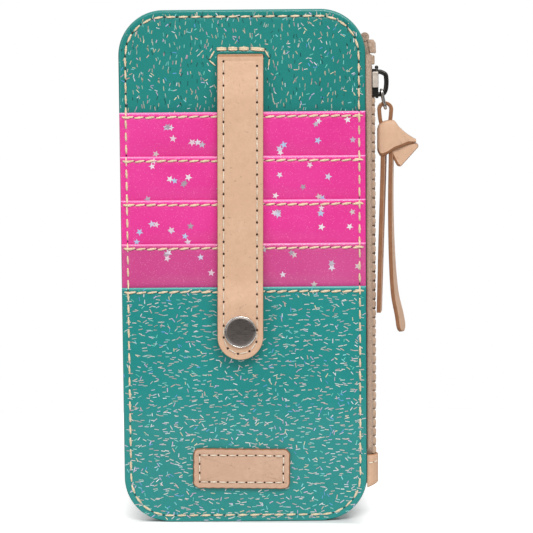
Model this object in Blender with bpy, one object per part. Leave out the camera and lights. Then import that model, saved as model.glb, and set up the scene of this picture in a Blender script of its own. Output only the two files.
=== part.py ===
"""Slim card organizer: an upright vinyl wallet with four card pockets and a deeper
lower pocket on its front, a leather strap that snaps down over the cards, and a
zip pocket between its two leaves that opens along the right-hand side.

Metres, +Z up. The organizer stands on its bottom edge, its front faces -Y and the
zip runs up the +X side. Sizes are written in millimetres times MM.
"""

import math

import bmesh
import bpy
from mathutils import Matrix, Vector

MM = 0.001

# The two leaves: vinyl turned in over a board
BODY_WIDTH = 95.3 * MM
BODY_HEIGHT = 200.0 * MM
CORNER_RADIUS = 17.5 * MM
VINYL = 0.7 * MM
BOARD = 0.5 * MM
BOARD_INSET = 1.4 * MM
TURN_IN = 8.0 * MM
LINING = 0.3 * MM
LINING_INSET = 1.6 * MM
FIT = 0.1 * MM
ZIP_GAP = 5.3 * MM
SEAM_WIDTH = 1.0 * MM
RISE_RUN_X = 45.0 * MM
RISE_RUN_Z = 16.0 * MM

# The card pockets on the front
CARD_SHEET = 0.45 * MM
SLOT_CLEAR = 0.15 * MM
SLOT_DROP = 39.2 * MM
SLOT_COUNT = 4
POCKET_DEPTH = 48.0 * MM
POCKET_SIDE = 0.3 * MM
HEM = 0.25 * MM
HEM_HEIGHT = 4.0 * MM
LOWER_SHEET = 0.6 * MM
LOWER_RISE = 2.1 * MM
LOWER_FOOT = 0.3 * MM

# The strap and its anchor
STRAP_WIDTH = 17.6 * MM
STRAP_X = -1.1 * MM
STRAP_LEAN = math.radians(0.5)
STRAP_DROP = 17.4 * MM
STRAP_LENGTH = 117.5 * MM
STRAP_FACE = 1.1 * MM
STRAP_LINING = 0.8 * MM
STRAP_ROUND = 10.1 * MM
STRAP_CLEAR = 0.3 * MM
STRAP_HEEL = 0.55 * MM
SLIT_CLEAR = 0.3 * MM
SLIT_ABOVE = 0.9 * MM
SLIT_BELOW = 0.8 * MM
SLIT_SIDE = 0.5 * MM
TONGUE_LENGTH = 7.6 * MM

# The snap
SNAP_IN = 11.2 * MM
SNAP_UNDER = 16.7 * MM
SNAP_STACK = 2.8 * MM
CAP_RADIUS = 6.2 * MM
CAP_FACE_RADIUS = 5.5 * MM
CAP_HEIGHT = 1.15 * MM
SOCKET_RADIUS = 4.9 * MM
SOCKET_HEIGHT = 1.8 * MM
STUD_RADIUS = 5.0 * MM
STUD_FLANGE = 0.5 * MM
STUD_HEIGHT = 2.4 * MM
STUD_BULB = 1.95 * MM
STUD_PLAY = 0.3 * MM
RIVET_RADIUS = 4.0 * MM
RIVET_FLANGE = 0.4 * MM
STEM_RADIUS = 1.2 * MM
STEM_PLAY = 0.3 * MM

# The bare leather patch
PATCH_WIDTH = 37.8 * MM
PATCH_HEIGHT = 15.9 * MM
PATCH_THICK = 1.4 * MM
PATCH_CORNER = 2.2 * MM
PATCH_X = -1.6 * MM
PATCH_Z = 21.4 * MM
PATCH_TURN = math.radians(1.0)

# The zip
TAPE = 0.5 * MM
TAPE_REACH = 2.55 * MM
TAPE_HOLD = 10.25 * MM
TAPE_BOTTOM = 20.0 * MM
TAPE_DROP = 17.6 * MM
TOOTH_THICK = 2.6 * MM
TOOTH_SET = 0.3 * MM
TOOTH_PITCH = 3.6 * MM
TOOTH_START = 31.4 * MM
TEETH_IN_SLIDER = 4.6 * MM
CHAIN_BEYOND = 1.2 * MM
TOOTH_BASE = 2.9 * MM
TOOTH_NECK = 0.9 * MM
TOOTH_HEAD = 1.5 * MM
CHAIN_HALF = 2.6 * MM
HEAD_REACH = 0.75 * MM
CORD = 0.9 * MM
STOP_HEIGHT = 3.6 * MM
STOP_INNER = 0.9 * MM
TOP_END_DEPTH = 2.6 * MM
TOP_END_HEIGHT = 5.1 * MM
TOP_END_ROLL = 1.75 * MM
BOTTOM_STOP = 1.8 * MM
BOTTOM_STOP_HALF = 1.1 * MM
ZIP_CLEAR = 0.2 * MM

# The slider, its bail and its link
SLIDER_DROP = 34.5 * MM
SLIDER_LENGTH = 11.5 * MM
SLIDER_HALF = 3.8 * MM
SLIDER_TAIL = 3.35 * MM
SLIDER_PLATE = 1.0 * MM
SLIDER_WALL = 0.7 * MM
DIVIDER_HALF = 0.95 * MM
BAIL_THICK = 1.6 * MM
BAIL_WIDTH = 2.2 * MM
BAIL_REACH = 4.0 * MM
LINK_WIRE = 0.6 * MM
LINK_HALF = 2.9 * MM
LINK_LENGTH = 7.26 * MM
LINK_LEAN = math.radians(12.3)
LINK_PLAY = 0.25 * MM

# The knotted leather pull
LACE = 1.6 * MM
LACE_WAIST = 2.0 * MM
LACE_HALF = 4.2 * MM
LOOP_RADIUS = 2.4 * MM
LOOP_LENGTH = 8.0 * MM
KNOT_UNIT = 1.0 * MM
KNOT_LEFT = 3.1 * MM
TAIL_START = 15.5 * MM
TAIL_GAP = 2.8 * MM
TAIL_SWAY = 3.5 * MM
LONG_TAIL = 86.6 * MM
SHORT_TAIL = 78.8 * MM

# The leather tab over the lower end of the zip
TAB_LEATHER = 1.2 * MM
TAB_HALF = 3.7 * MM
TAB_BEYOND = 0.6 * MM
TAB_TOP = 26.0 * MM
TAB_HEIGHT = 13.0 * MM
TAB_SLANT = 0.38

# Sizes that follow from the ones above
LEAF = 2 * VINYL + BOARD + 2 * FIT
SEAM_GAP = 2 * LINING + 3 * FIT
POCKET_RISE = ZIP_GAP - SEAM_GAP
FRONT_INNER = -ZIP_GAP / 2
FRONT_FACE = FRONT_INNER - LEAF
SEAM_BACK = FRONT_INNER + SEAM_GAP
FOLD = LEAF / 2
EDGE_X = BODY_WIDTH / 2
TAPE_EDGE = EDGE_X - TAPE_HOLD
TAPE_PLANE = EDGE_X + TAPE_REACH
TAPE_TOP = BODY_HEIGHT - TAPE_DROP
SLOT_TOP = BODY_HEIGHT - SLOT_DROP
STRAP_TOP = BODY_HEIGHT - STRAP_DROP
SLIDER_BOTTOM = BODY_HEIGHT - SLIDER_DROP
SNAP_Z = STRAP_TOP - STRAP_LENGTH + SNAP_IN
LOWER_TOP = SNAP_Z + SNAP_UNDER
SLOT_PITCH = (SLOT_TOP - LOWER_TOP) / SLOT_COUNT
CARD_LEAN = math.atan2(CARD_SHEET + SLOT_CLEAR, SLOT_PITCH)
LOWER_LEAN = math.atan2(LOWER_RISE, LOWER_TOP - LOWER_FOOT)
STRAP_THICK = STRAP_FACE + FIT + STRAP_LINING
STRAP_AXIS_Y = FRONT_FACE - SLIT_CLEAR - STRAP_THICK / 2
STRAP_AXIS_Z = STRAP_TOP - STRAP_HEEL
SLIT_X = STRAP_X + STRAP_LENGTH / 2 * math.tan(STRAP_LEAN)
TOOTH_X = TAPE_PLANE + TOOTH_SET
TOOTH_IN = TOOTH_X - TOOTH_THICK / 2
TOOTH_OUT = TOOTH_X + TOOTH_THICK / 2
TOOTH_COUNT = int((SLIDER_BOTTOM + TEETH_IN_SLIDER - TOOTH_START) / TOOTH_PITCH) + 1
TAB_OUT = TOOTH_OUT + TAB_BEYOND
PLATE_IN = TOOTH_OUT + ZIP_CLEAR
PLATE_OUT = PLATE_IN + SLIDER_PLATE
SLIDER_TOP = SLIDER_BOTTOM + SLIDER_LENGTH
STOP_FOOT = TOOTH_START - TOOTH_PITCH - BOTTOM_STOP / 2
ZIP_TRAVEL = SLIDER_BOTTOM - (STOP_FOOT + BOTTOM_STOP + ZIP_CLEAR)
BAIL_FOOT = Vector((PLATE_OUT + 1.1 * MM, 0.0, SLIDER_BOTTOM + 1.5 * MM))
LINK_TOP = BAIL_FOOT + Vector((0.1 * MM, 0.0, LINK_WIRE + BAIL_THICK / 2 + LINK_PLAY))
LINK_DOWN = Vector((math.sin(LINK_LEAN), 0.0, -math.cos(LINK_LEAN)))
LINK_FOOT = LINK_TOP + LINK_DOWN * LINK_LENGTH


# Small helpers

def clear_scene():
    for old in list(bpy.data.objects):
        bpy.data.objects.remove(old, do_unlink=True)


def smooth(t):
    """An S-curve from 0 to 1."""
    t = min(max(t, 0.0), 1.0)
    return t * t * (3.0 - 2.0 * t)


def mix(a, b, t):
    return a + (b - a) * t


def along(points, count):
    """Points spread evenly over a Catmull-Rom curve through the given ones."""
    ends = [points[0] * 2 - points[1], *points, points[-1] * 2 - points[-2]]
    runs = len(points) - 1
    found = []
    for step in range(count + 1):
        place = step / count * runs
        i = min(int(place), runs - 1)
        t = place - i
        a, b, c, d = ends[i:i + 4]
        found.append(0.5 * (2 * b + (c - a) * t + (2 * a - 5 * b + 4 * c - d) * t * t
                            + (3 * b - a - 3 * c + d) * t ** 3))
    return found


def material(name, colour, roughness, metallic=0.0):
    made = bpy.data.materials.new(name)
    made.use_nodes = True
    shader = made.node_tree.nodes["Principled BSDF"]
    shader.inputs["Base Color"].default_value = (*colour, 1.0)
    shader.inputs["Roughness"].default_value = roughness
    shader.inputs["Metallic"].default_value = metallic
    made.diffuse_color = (*colour, 1.0)
    return made


def empty(name, at, parent=None):
    made = bpy.data.objects.new(name, None)
    made.empty_display_size = 5 * MM
    made.location = at
    bpy.context.scene.collection.objects.link(made)
    if parent:
        made.parent = parent
    return made


def add(name, bm, look, parent, at=(0, 0, 0), turn=(0, 0, 0), round_edges=False):
    """The object of a bmesh that was drawn in the organizer's frame or, where at is
    given, about its own origin."""
    bmesh.ops.recalc_face_normals(bm, faces=bm.faces)
    mesh = bpy.data.meshes.new(name)
    bm.to_mesh(mesh)
    bm.free()
    mesh.materials.append(look)
    made = bpy.data.objects.new(name, mesh)
    bpy.context.scene.collection.objects.link(made)
    made.parent = parent
    made.location = at
    made.rotation_euler = turn
    if round_edges:
        mesh.shade_smooth()
        mesh.set_sharp_from_angle(angle=math.radians(35))
    return made


def hang(obj, pivot):
    """Give a moving piece its origin at its joint, without moving its shape."""
    obj.data.transform(Matrix.Translation(-pivot.location))
    obj.parent = pivot
    return obj


def cutter(name, bm, parent, at=(0, 0, 0), turn=(0, 0, 0)):
    made = add(name, bm, CUT_LOOK, parent, at, turn)
    made.hide_render = True
    made.display_type = "WIRE"
    return made


def boolean(obj, other, operation):
    change = obj.modifiers.new(operation.title() + " " + other.name, "BOOLEAN")
    change.operation = operation
    change.solver = "EXACT"
    change.object = other


def box(low, high):
    bm = bmesh.new()
    bmesh.ops.create_cube(bm, size=1.0)
    size = Vector(high) - Vector(low)
    middle = (Vector(high) + Vector(low)) / 2
    bmesh.ops.transform(bm, verts=bm.verts,
                        matrix=Matrix.Translation(middle) @ Matrix.Diagonal((*size, 1.0)))
    return bm


def prism(outline, direction):
    """A flat outline pushed along a direction."""
    bm = bmesh.new()
    face = bm.faces.new([bm.verts.new(p) for p in outline])
    pushed = bmesh.ops.extrude_face_region(bm, geom=[face])
    moved = [v for v in pushed["geom"] if isinstance(v, bmesh.types.BMVert)]
    bmesh.ops.translate(bm, verts=moved, vec=Vector(direction))
    return bm


def turned(profile, steps=28):
    """A profile of (radius, height) pairs spun about the -Y axis."""
    bm = bmesh.new()
    chain = [bm.verts.new((r, -h, 0.0)) for r, h in profile]
    edges = [bm.edges.new(pair) for pair in zip(chain, chain[1:])]
    bmesh.ops.spin(bm, geom=chain + edges, cent=(0, 0, 0), axis=(0, 1, 0),
                   angle=math.tau, steps=steps, use_duplicate=False)
    bmesh.ops.remove_doubles(bm, verts=bm.verts, dist=1e-6)
    return bm


def loft(sections, closed=False):
    """A skin over sections with the same number of points, with its ends capped."""
    bm = bmesh.new()
    rings = [[bm.verts.new(p) for p in section] for section in sections]
    pairs = list(zip(rings, rings[1:])) + ([(rings[-1], rings[0])] if closed else [])
    count = len(rings[0])
    for near, far in pairs:
        for i in range(count):
            j = (i + 1) % count
            bm.faces.new((near[i], near[j], far[j], far[i]))
    if not closed:
        bm.faces.new(rings[0])
        bm.faces.new(rings[-1])
    return bm


def ribbon(path, widths, thickness, twist=None):
    """A strip of leather whose centre line runs in the XZ plane and whose width lies
    along Y. widths holds half widths, and twist turns a section about Z."""
    sections = []
    for i, p in enumerate(path):
        ahead = path[min(i + 1, len(path) - 1)] - path[max(i - 1, 0)]
        normal = Vector((ahead.z, 0.0, -ahead.x)).normalized() * (thickness / 2)
        side = Vector((0.0, widths[i], 0.0))
        if twist:
            side = Matrix.Rotation(twist[i], 3, "Z") @ side
        sections.append([p - side - normal, p + side - normal,
                         p + side + normal, p - side + normal])
    return loft(sections)


# The outline shared by everything in the leaves

# Heights of the creases from either end, and the upright creases where the back
# leaf rises. All sheets of a leaf share them, so that they lie parallel.
CREASES_Z = [2.6 * MM, 4.0 * MM, 6.0 * MM, TURN_IN, 10.2 * MM, 12.5 * MM, 15.0 * MM,
             CORNER_RADIUS]
CREASES_X = [SEAM_WIDTH - EDGE_X + RISE_RUN_X * (i + 1) / 9 for i in range(9)]


def half_width(inset, z):
    """Half width of the rounded rectangle, inset from its edge, at a height."""
    low = CORNER_RADIUS - min(z, BODY_HEIGHT - z)
    radius = CORNER_RADIUS - inset
    if low <= 0.0:
        return EDGE_X - inset
    return EDGE_X - CORNER_RADIUS + math.sqrt(max(radius ** 2 - low ** 2, 0.0))


def row_heights(inset):
    """Heights of a sheet's rows: its foot, one more on the corner's arc, the shared
    creases, and the same from the top."""
    radius = CORNER_RADIUS - inset
    first = math.acos((CORNER_RADIUS - CREASES_Z[0]) / radius) / 2
    low = [inset, CORNER_RADIUS - radius * math.cos(first), *CREASES_Z]
    return low + [BODY_HEIGHT - z for z in reversed(low)]


def pocket_rise(x, z):
    """How far the back leaf stands off at a point: nothing along the sewn edges, and
    the full rise from the middle across to the zip."""
    across = smooth((x + EDGE_X - SEAM_WIDTH) / RISE_RUN_X)
    up = smooth((min(z, BODY_HEIGHT - z) - SEAM_WIDTH) / RISE_RUN_Z)
    return POCKET_RISE * across * up


def flat(x, z):
    return 0.0


class Sheet:
    """Points over the outline at one depth, row by row from the bottom up. A hole is
    the inset of an opening with the same kind of outline, and right stops the rows
    short of the zip tape."""

    def __init__(self, bm, inset, y, rise, creases, hole=None, right=None):
        self.rows = []
        self.holes = []
        for z in row_heights(inset):
            half = half_width(inset, z)
            end = half if right is None else min(half, right)
            keep = 0.5 * MM
            xs = [-half] + [x for x in creases if keep - half < x < end - keep] + [end]
            gap = None
            if hole is not None and hole <= z <= BODY_HEIGHT - hole:
                gap = half_width(hole, z)
                outer = [x for x in xs if abs(x) > gap + keep]
                inner = [x for x in xs if abs(x) < gap - keep]
                edge = z in (hole, BODY_HEIGHT - hole)
                xs = sorted(outer + [-gap, gap] + (inner if edge else []))
            line = [bm.verts.new((x, y + rise(x, z), z)) for x in xs]
            self.rows.append(line)
            self.holes.append(gap)

    def border(self):
        right = [row[-1] for row in self.rows[1:-1]]
        left = [row[0] for row in reversed(self.rows[1:-1])]
        return self.rows[0] + right + list(reversed(self.rows[-1])) + left

    def hole_border(self):
        inner = [(row, gap) for row, gap in zip(self.rows, self.holes) if gap is not None]
        low = [v for v in inner[0][0] if abs(v.co.x) <= inner[0][1] + 1e-6]
        high = [v for v in inner[-1][0] if abs(v.co.x) <= inner[-1][1] + 1e-6]
        right = [min((v for v in row if v.co.x > 0), key=lambda v: v.co.x)
                 for row, gap in inner[1:-1]]
        left = [max((v for v in row if v.co.x < 0), key=lambda v: v.co.x)
                for row, gap in reversed(inner[1:-1])]
        return low + right + list(reversed(high)) + left

    def cover(self, bm):
        """Triangles between the rows, leaving the hole open."""
        for low, high, low_gap, high_gap in zip(self.rows, self.rows[1:], self.holes,
                                                self.holes[1:]):
            if low_gap is None or high_gap is None:
                strip(bm, low, high)
                continue
            for side in (-1, 1):
                strip(bm, [v for v in low if side * v.co.x >= low_gap - 1e-6],
                      [v for v in high if side * v.co.x >= high_gap - 1e-6])


def strip(bm, low, high):
    """Triangles between two rows of vertices that run from left to right."""
    i = j = 0
    while i < len(low) - 1 or j < len(high) - 1:
        if j == len(high) - 1 or (i < len(low) - 1
                                  and low[i + 1].co.x <= high[j + 1].co.x):
            bm.faces.new((low[i], low[i + 1], high[j]))
            i += 1
        else:
            bm.faces.new((low[i], high[j + 1], high[j]))
            j += 1


def wall(bm, near, far):
    """Faces between two borders with the same number of vertices."""
    for i in range(len(near)):
        j = (i + 1) % len(near)
        bm.faces.new((near[i], near[j], far[j], far[i]))


def board(inset, y, thickness, rise, creases, right=None):
    """A plain sheet between depth y and y plus its thickness."""
    bm = bmesh.new()
    near = Sheet(bm, inset, y, rise, creases, right=right)
    far = Sheet(bm, inset, y + thickness, rise, creases, right=right)
    near.cover(bm)
    far.cover(bm)
    wall(bm, near.border(), far.border())
    return bm


def turned_panel(face_y, inward, rise, creases):
    """A vinyl panel with its edge turned in over the board: the face sheet, a round
    fold all the way along the edge, and a flange that lies behind the board.
    inward is +1 where the flange lies on the +Y side of the face."""
    bm = bmesh.new()

    def at(inset, deep, hole=None):
        return Sheet(bm, inset, face_y + inward * deep, rise, creases, hole)

    outside = at(FOLD, 0.0)
    bend = [at(0.24 * FOLD, 0.16 * LEAF), at(0.0, 0.38 * LEAF), at(0.0, 0.62 * LEAF),
            at(0.24 * FOLD, 0.84 * LEAF)]
    flange = at(FOLD, LEAF, TURN_IN)
    flange_in = at(FOLD, LEAF - VINYL, TURN_IN)
    knee = at(FOLD - 0.3 * VINYL, LEAF / 2)
    inside = at(FOLD, VINYL)
    outer = [outside, *bend, flange]
    for near, far in zip(outer, outer[1:]):
        wall(bm, near.border(), far.border())
    wall(bm, flange.hole_border(), flange_in.hole_border())
    wall(bm, flange_in.border(), knee.border())
    wall(bm, knee.border(), inside.border())
    for sheet in (outside, flange, flange_in, inside):
        sheet.cover(bm)
    loose = [v for v in bm.verts if not v.link_faces]
    bmesh.ops.delete(bm, geom=loose, context="VERTS")
    return bm


def make_leaves(frame):
    """Front and back leaf: turned vinyl, board and lining."""
    front = add("front_panel", turned_panel(FRONT_FACE, 1, flat, []), TEAL, frame,
                round_edges=True)
    slit_x = STRAP_WIDTH / 2 + SLIT_SIDE
    slit = cutter("strap_slit", box(
        (SLIT_X - slit_x, FRONT_FACE - VINYL, STRAP_TOP - SLIT_BELOW),
        (SLIT_X + slit_x, FRONT_FACE + VINYL + FIT / 2, STRAP_TOP + SLIT_ABOVE)), frame)
    boolean(front, slit, "DIFFERENCE")
    front_board = add("front_board",
                      board(BOARD_INSET, FRONT_FACE + VINYL + FIT, BOARD, flat, []),
                      CARD, frame)
    window = cutter("tongue_window", box(
        (SLIT_X - slit_x, FRONT_FACE, STRAP_TOP - SLIT_BELOW - 2 * SLIT_SIDE),
        (SLIT_X + slit_x, FRONT_INNER, STRAP_TOP + TONGUE_LENGTH + 2 * SLIT_SIDE)), frame)
    boolean(front_board, window, "DIFFERENCE")
    add("pocket_lining_front",
        board(LINING_INSET, FRONT_INNER + FIT, LINING, flat, [], TAPE_EDGE - FIT),
        CLOTH, frame)
    back_face = SEAM_BACK + LEAF
    add("back_panel", turned_panel(back_face, -1, pocket_rise, CREASES_X), TEAL, frame,
        round_edges=True)
    add("back_board",
        board(BOARD_INSET, back_face - VINYL - FIT - BOARD, BOARD, pocket_rise, CREASES_X),
        CARD, frame)
    add("pocket_lining_back",
        board(LINING_INSET, SEAM_BACK - FIT - LINING, LINING, pocket_rise, CREASES_X,
              TAPE_EDGE - FIT), CLOTH, frame)


# The pockets

def hem_outline(height, sheet):
    """The side view of a pocket sheet, with its turned and thicker top edge."""
    top = sheet + HEM
    return [
        (0.0, 0.0), (0.0, height - 0.3 * top), (-0.3 * top, height),
        (-0.7 * top, height), (-top, height - 0.3 * top),
        (-top, height - HEM_HEIGHT), (-sheet, height - HEM_HEIGHT - 2 * HEM),
        (-sheet, 0.0),
    ]


def make_pockets(frame):
    half = EDGE_X - POCKET_SIDE
    side = [(-half, y, z) for y, z in hem_outline(POCKET_DEPTH, CARD_SHEET)]
    for n in range(SLOT_COUNT):
        foot = SLOT_TOP - n * SLOT_PITCH - POCKET_DEPTH * math.cos(CARD_LEAN)
        add(f"card_pocket_{n + 1}", prism(side, (2 * half, 0, 0)), PINK, frame,
            at=(0.0, FRONT_FACE - SLOT_CLEAR, foot), turn=(CARD_LEAN, 0, 0))

    # The lower pocket follows the rounded foot of the panel
    height = (LOWER_TOP - LOWER_FOOT) / math.cos(LOWER_LEAN)
    inset = LOWER_FOOT
    rows = [(z - LOWER_FOOT, half_width(inset, z)) for z in row_heights(inset)
            if z < BODY_HEIGHT / 2]
    heights = [(z, w, LOWER_SHEET) for z, w in rows]
    full = rows[-1][1]
    top = LOWER_SHEET + HEM
    heights += [
        (height - HEM_HEIGHT - 2 * HEM, full, LOWER_SHEET),
        (height - HEM_HEIGHT, full, top),
        (height - 0.3 * top, full, top),
        (height, full, 0.7 * top),
    ]
    sections = []
    for z, w, thick in heights:
        back = 0.0 if z < height else -0.3 * top
        sections.append([(-w, back, z), (w, back, z), (w, -thick, z), (-w, -thick, z)])
    lower = add("lower_pocket", loft(sections), TEAL_DENSE, frame,
                at=(0.0, FRONT_FACE - SLOT_CLEAR, LOWER_FOOT), turn=(LOWER_LEAN, 0, 0))
    return lower


def lower_face(z):
    """Depth of the lower pocket's outer face at a height."""
    return (FRONT_FACE - SLOT_CLEAR - LOWER_SHEET / math.cos(LOWER_LEAN)
            - math.tan(LOWER_LEAN) * (z - LOWER_FOOT))


# The strap

def strap_depth(z):
    """Depth of the strap's inner side: out of the slit, over the hems of the card
    pockets, and up over the snap, where it lies parallel to the lower pocket."""
    card_top = SLOT_CLEAR + POCKET_DEPTH * math.sin(CARD_LEAN) + CARD_SHEET + HEM
    slit_y = FRONT_FACE - SLIT_CLEAR
    cards_y = FRONT_FACE - card_top - STRAP_CLEAR
    lower_y = lower_face(LOWER_TOP) - HEM - STRAP_CLEAR
    over_cards = SLOT_TOP + 4 * MM
    over_lower = LOWER_TOP + 4 * MM
    over_snap = SNAP_Z + SOCKET_RADIUS + 4 * MM
    if z > over_cards:
        return mix(cards_y, slit_y, smooth((z - over_cards) / (STRAP_AXIS_Z - over_cards)))
    if z > over_lower:
        return mix(lower_y, cards_y, (z - over_lower) / (over_cards - over_lower))
    snap_y = lower_face(z) - SNAP_STACK
    if z > over_snap:
        return mix(snap_y, lower_y, smooth((z - over_snap) / (over_lower - over_snap)))
    return snap_y


def strap_middle(z):
    """Middle of the strap's width: it leans a little, with its foot to the left."""
    return SLIT_X - (STRAP_TOP - z) * math.tan(STRAP_LEAN)


def strap_layer(inner, outer):
    """One leather layer of the strap, between two distances from its inner side."""
    end = STRAP_TOP - STRAP_LENGTH
    stations = []
    for i in range(9):
        a = (i + 1) / 10 * math.pi / 2
        stations.append((end + STRAP_ROUND * (1 - math.cos(a)), math.sin(a)))
    straight = end + STRAP_ROUND
    for i in range(25):
        stations.append((mix(straight, STRAP_TOP, i / 24), 1.0))
    sections = []
    for z, wide in stations:
        w = wide * STRAP_WIDTH / 2
        x, y = strap_middle(z), strap_depth(z)
        sections.append([(x - w, y - inner, z), (x + w, y - inner, z),
                         (x + w, y - outer, z), (x - w, y - outer, z)])
    return loft(sections)


def snap_place(height):
    """Where a snap piece sits: on the lower pocket's face, at a height above it, with
    its axis square to that face."""
    out = Vector((0.0, -math.cos(LOWER_LEAN), -math.sin(LOWER_LEAN)))
    return Vector((strap_middle(SNAP_Z), lower_face(SNAP_Z), SNAP_Z)) + out * height


def make_strap(frame, lower):
    pivot = empty("strap_pivot", (SLIT_X, STRAP_AXIS_Y, STRAP_AXIS_Z), frame)
    lining = hang(add("strap_lining", strap_layer(0.0, STRAP_LINING), TAN, frame), pivot)
    face = hang(add("strap_face", strap_layer(STRAP_LINING + FIT, STRAP_THICK), TAN,
                    frame), pivot)

    # The tongue goes in through the slit and up behind the vinyl
    behind = FRONT_FACE + VINYL + FIT
    nose = FRONT_FACE - FIT / 2
    tongue = [
        (nose, STRAP_TOP - SLIT_BELOW + 0.3 * MM), (behind + BOARD, STRAP_TOP - SLIT_BELOW + 0.3 * MM),
        (behind + BOARD, STRAP_TOP + TONGUE_LENGTH), (behind, STRAP_TOP + TONGUE_LENGTH),
        (behind, STRAP_TOP + SLIT_ABOVE - 0.3 * MM), (nose, STRAP_TOP + SLIT_ABOVE - 0.3 * MM),
    ]
    half = STRAP_WIDTH / 2
    add("strap_tongue", prism([(SLIT_X - half, y, z) for y, z in tongue], (2 * half, 0, 0)),
        TAN, frame)

    # Holes for the stems of the snap
    lean = (LOWER_LEAN, 0, 0)
    hole = STEM_RADIUS + STEM_PLAY
    strap_hole = hang(cutter("strap_hole", turned([
        (0.0, 0.0), (hole, 0.0), (hole, 3 * STRAP_THICK), (0.0, 3 * STRAP_THICK)]), frame,
        at=snap_place(SNAP_STACK - STRAP_THICK), turn=lean), pivot)
    strap_hole.data.transform(Matrix.Translation(pivot.location))
    strap_hole.location = snap_place(SNAP_STACK - STRAP_THICK) - pivot.location
    boolean(lining, strap_hole, "DIFFERENCE")
    boolean(face, strap_hole, "DIFFERENCE")
    pocket_hole = cutter("pocket_hole", turned([
        (0.0, 0.0), (hole, 0.0), (hole, 4 * LOWER_SHEET), (0.0, 4 * LOWER_SHEET)]), frame,
        at=snap_place(-2.5 * LOWER_SHEET), turn=lean)
    boolean(lower, pocket_hole, "DIFFERENCE")

    # Cap with its stem, and the socket under the strap
    under = SNAP_STACK + STRAP_THICK + FIT
    rise = CAP_HEIGHT
    cap = add("snap_cap", turned([
        (0.0, SNAP_STACK), (STEM_RADIUS, SNAP_STACK), (STEM_RADIUS, under),
        (CAP_RADIUS - 0.35 * MM, under), (CAP_RADIUS, under + 0.35 * rise),
        (CAP_RADIUS - 0.12 * MM, under + 0.75 * rise), (CAP_RADIUS - 0.4 * MM, under + rise),
        (CAP_FACE_RADIUS + 0.05 * MM, under + 0.92 * rise),
        (CAP_FACE_RADIUS - 0.1 * MM, under + 0.75 * rise),
        (0.6 * CAP_FACE_RADIUS, under + 0.86 * rise), (0.0, under + 0.9 * rise)], 32),
        DARK_METAL, frame, turn=lean, round_edges=True)
    bore = STUD_BULB + STUD_PLAY
    low = SNAP_STACK - FIT - SOCKET_HEIGHT
    high = SNAP_STACK - FIT
    socket = add("snap_socket", turned([
        (bore, low + 0.3 * MM), (bore + 0.3 * MM, low), (0.62 * SOCKET_RADIUS, low),
        (0.72 * SOCKET_RADIUS, low + 0.3 * MM), (0.8 * SOCKET_RADIUS, high - 0.6 * MM),
        (SOCKET_RADIUS - 0.15 * MM, high - 0.5 * MM), (SOCKET_RADIUS, high - 0.25 * MM),
        (SOCKET_RADIUS - 0.1 * MM, high), (bore, high), (bore, low + 0.3 * MM)]),
        STEEL, frame, turn=lean, round_edges=True)
    for piece in (cap, socket):
        piece.parent = pivot
        piece.location = snap_place(0.0) - pivot.location

    # Stud on the pocket, and the rivet behind it
    neck = 0.74 * STUD_BULB
    add("snap_stud", turned([
        (0.0, FIT), (STUD_RADIUS - 0.1 * MM, FIT), (STUD_RADIUS, FIT + 0.2 * MM),
        (STUD_RADIUS - 0.3 * MM, FIT + STUD_FLANGE), (neck + 0.5 * MM, FIT + STUD_FLANGE),
        (neck, FIT + STUD_FLANGE + 0.4 * MM), (STUD_BULB, STUD_HEIGHT - 0.75 * MM),
        (STUD_BULB, STUD_HEIGHT - 0.35 * MM), (STUD_BULB - 0.45 * MM, STUD_HEIGHT),
        (0.0, STUD_HEIGHT)]), STEEL, frame, at=snap_place(0.0), turn=lean, round_edges=True)
    back = -LOWER_SHEET - FIT
    add("snap_rivet", turned([
        (0.0, back - RIVET_FLANGE), (RIVET_RADIUS - 0.2 * MM, back - RIVET_FLANGE),
        (RIVET_RADIUS, back - RIVET_FLANGE / 2), (RIVET_RADIUS - 0.1 * MM, back),
        (STEM_RADIUS, back), (STEM_RADIUS, 0.0), (0.0, 0.0)]), STEEL, frame,
        at=snap_place(0.0), turn=lean, round_edges=True)
    return pivot


def make_patch(frame):
    """The bare leather plate sewn near the foot of the lower pocket."""
    outline = []
    w, h, r = PATCH_WIDTH / 2, PATCH_HEIGHT / 2, PATCH_CORNER
    for quarter, (sx, sz) in enumerate(((1, 1), (-1, 1), (-1, -1), (1, -1))):
        for i in range(5):
            a = (quarter + i / 4) * math.pi / 2
            outline.append((sx * (w - r) + r * math.cos(a), 0.0,
                            sz * (h - r) + r * math.sin(a)))
    bm = prism(outline, (0, -PATCH_THICK, 0))
    spot = Vector((PATCH_X, lower_face(PATCH_Z) - FIT, PATCH_Z))
    patch = add("leather_patch", bm, TAN_DARK, frame, at=spot,
                turn=(LOWER_LEAN, PATCH_TURN, 0))
    soften = patch.modifiers.new("Soft edge", "BEVEL")
    soften.width = 0.3 * MM
    soften.segments = 1
    soften.limit_method = "ANGLE"
    soften.angle_limit = math.radians(50)


# The zip

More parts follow.
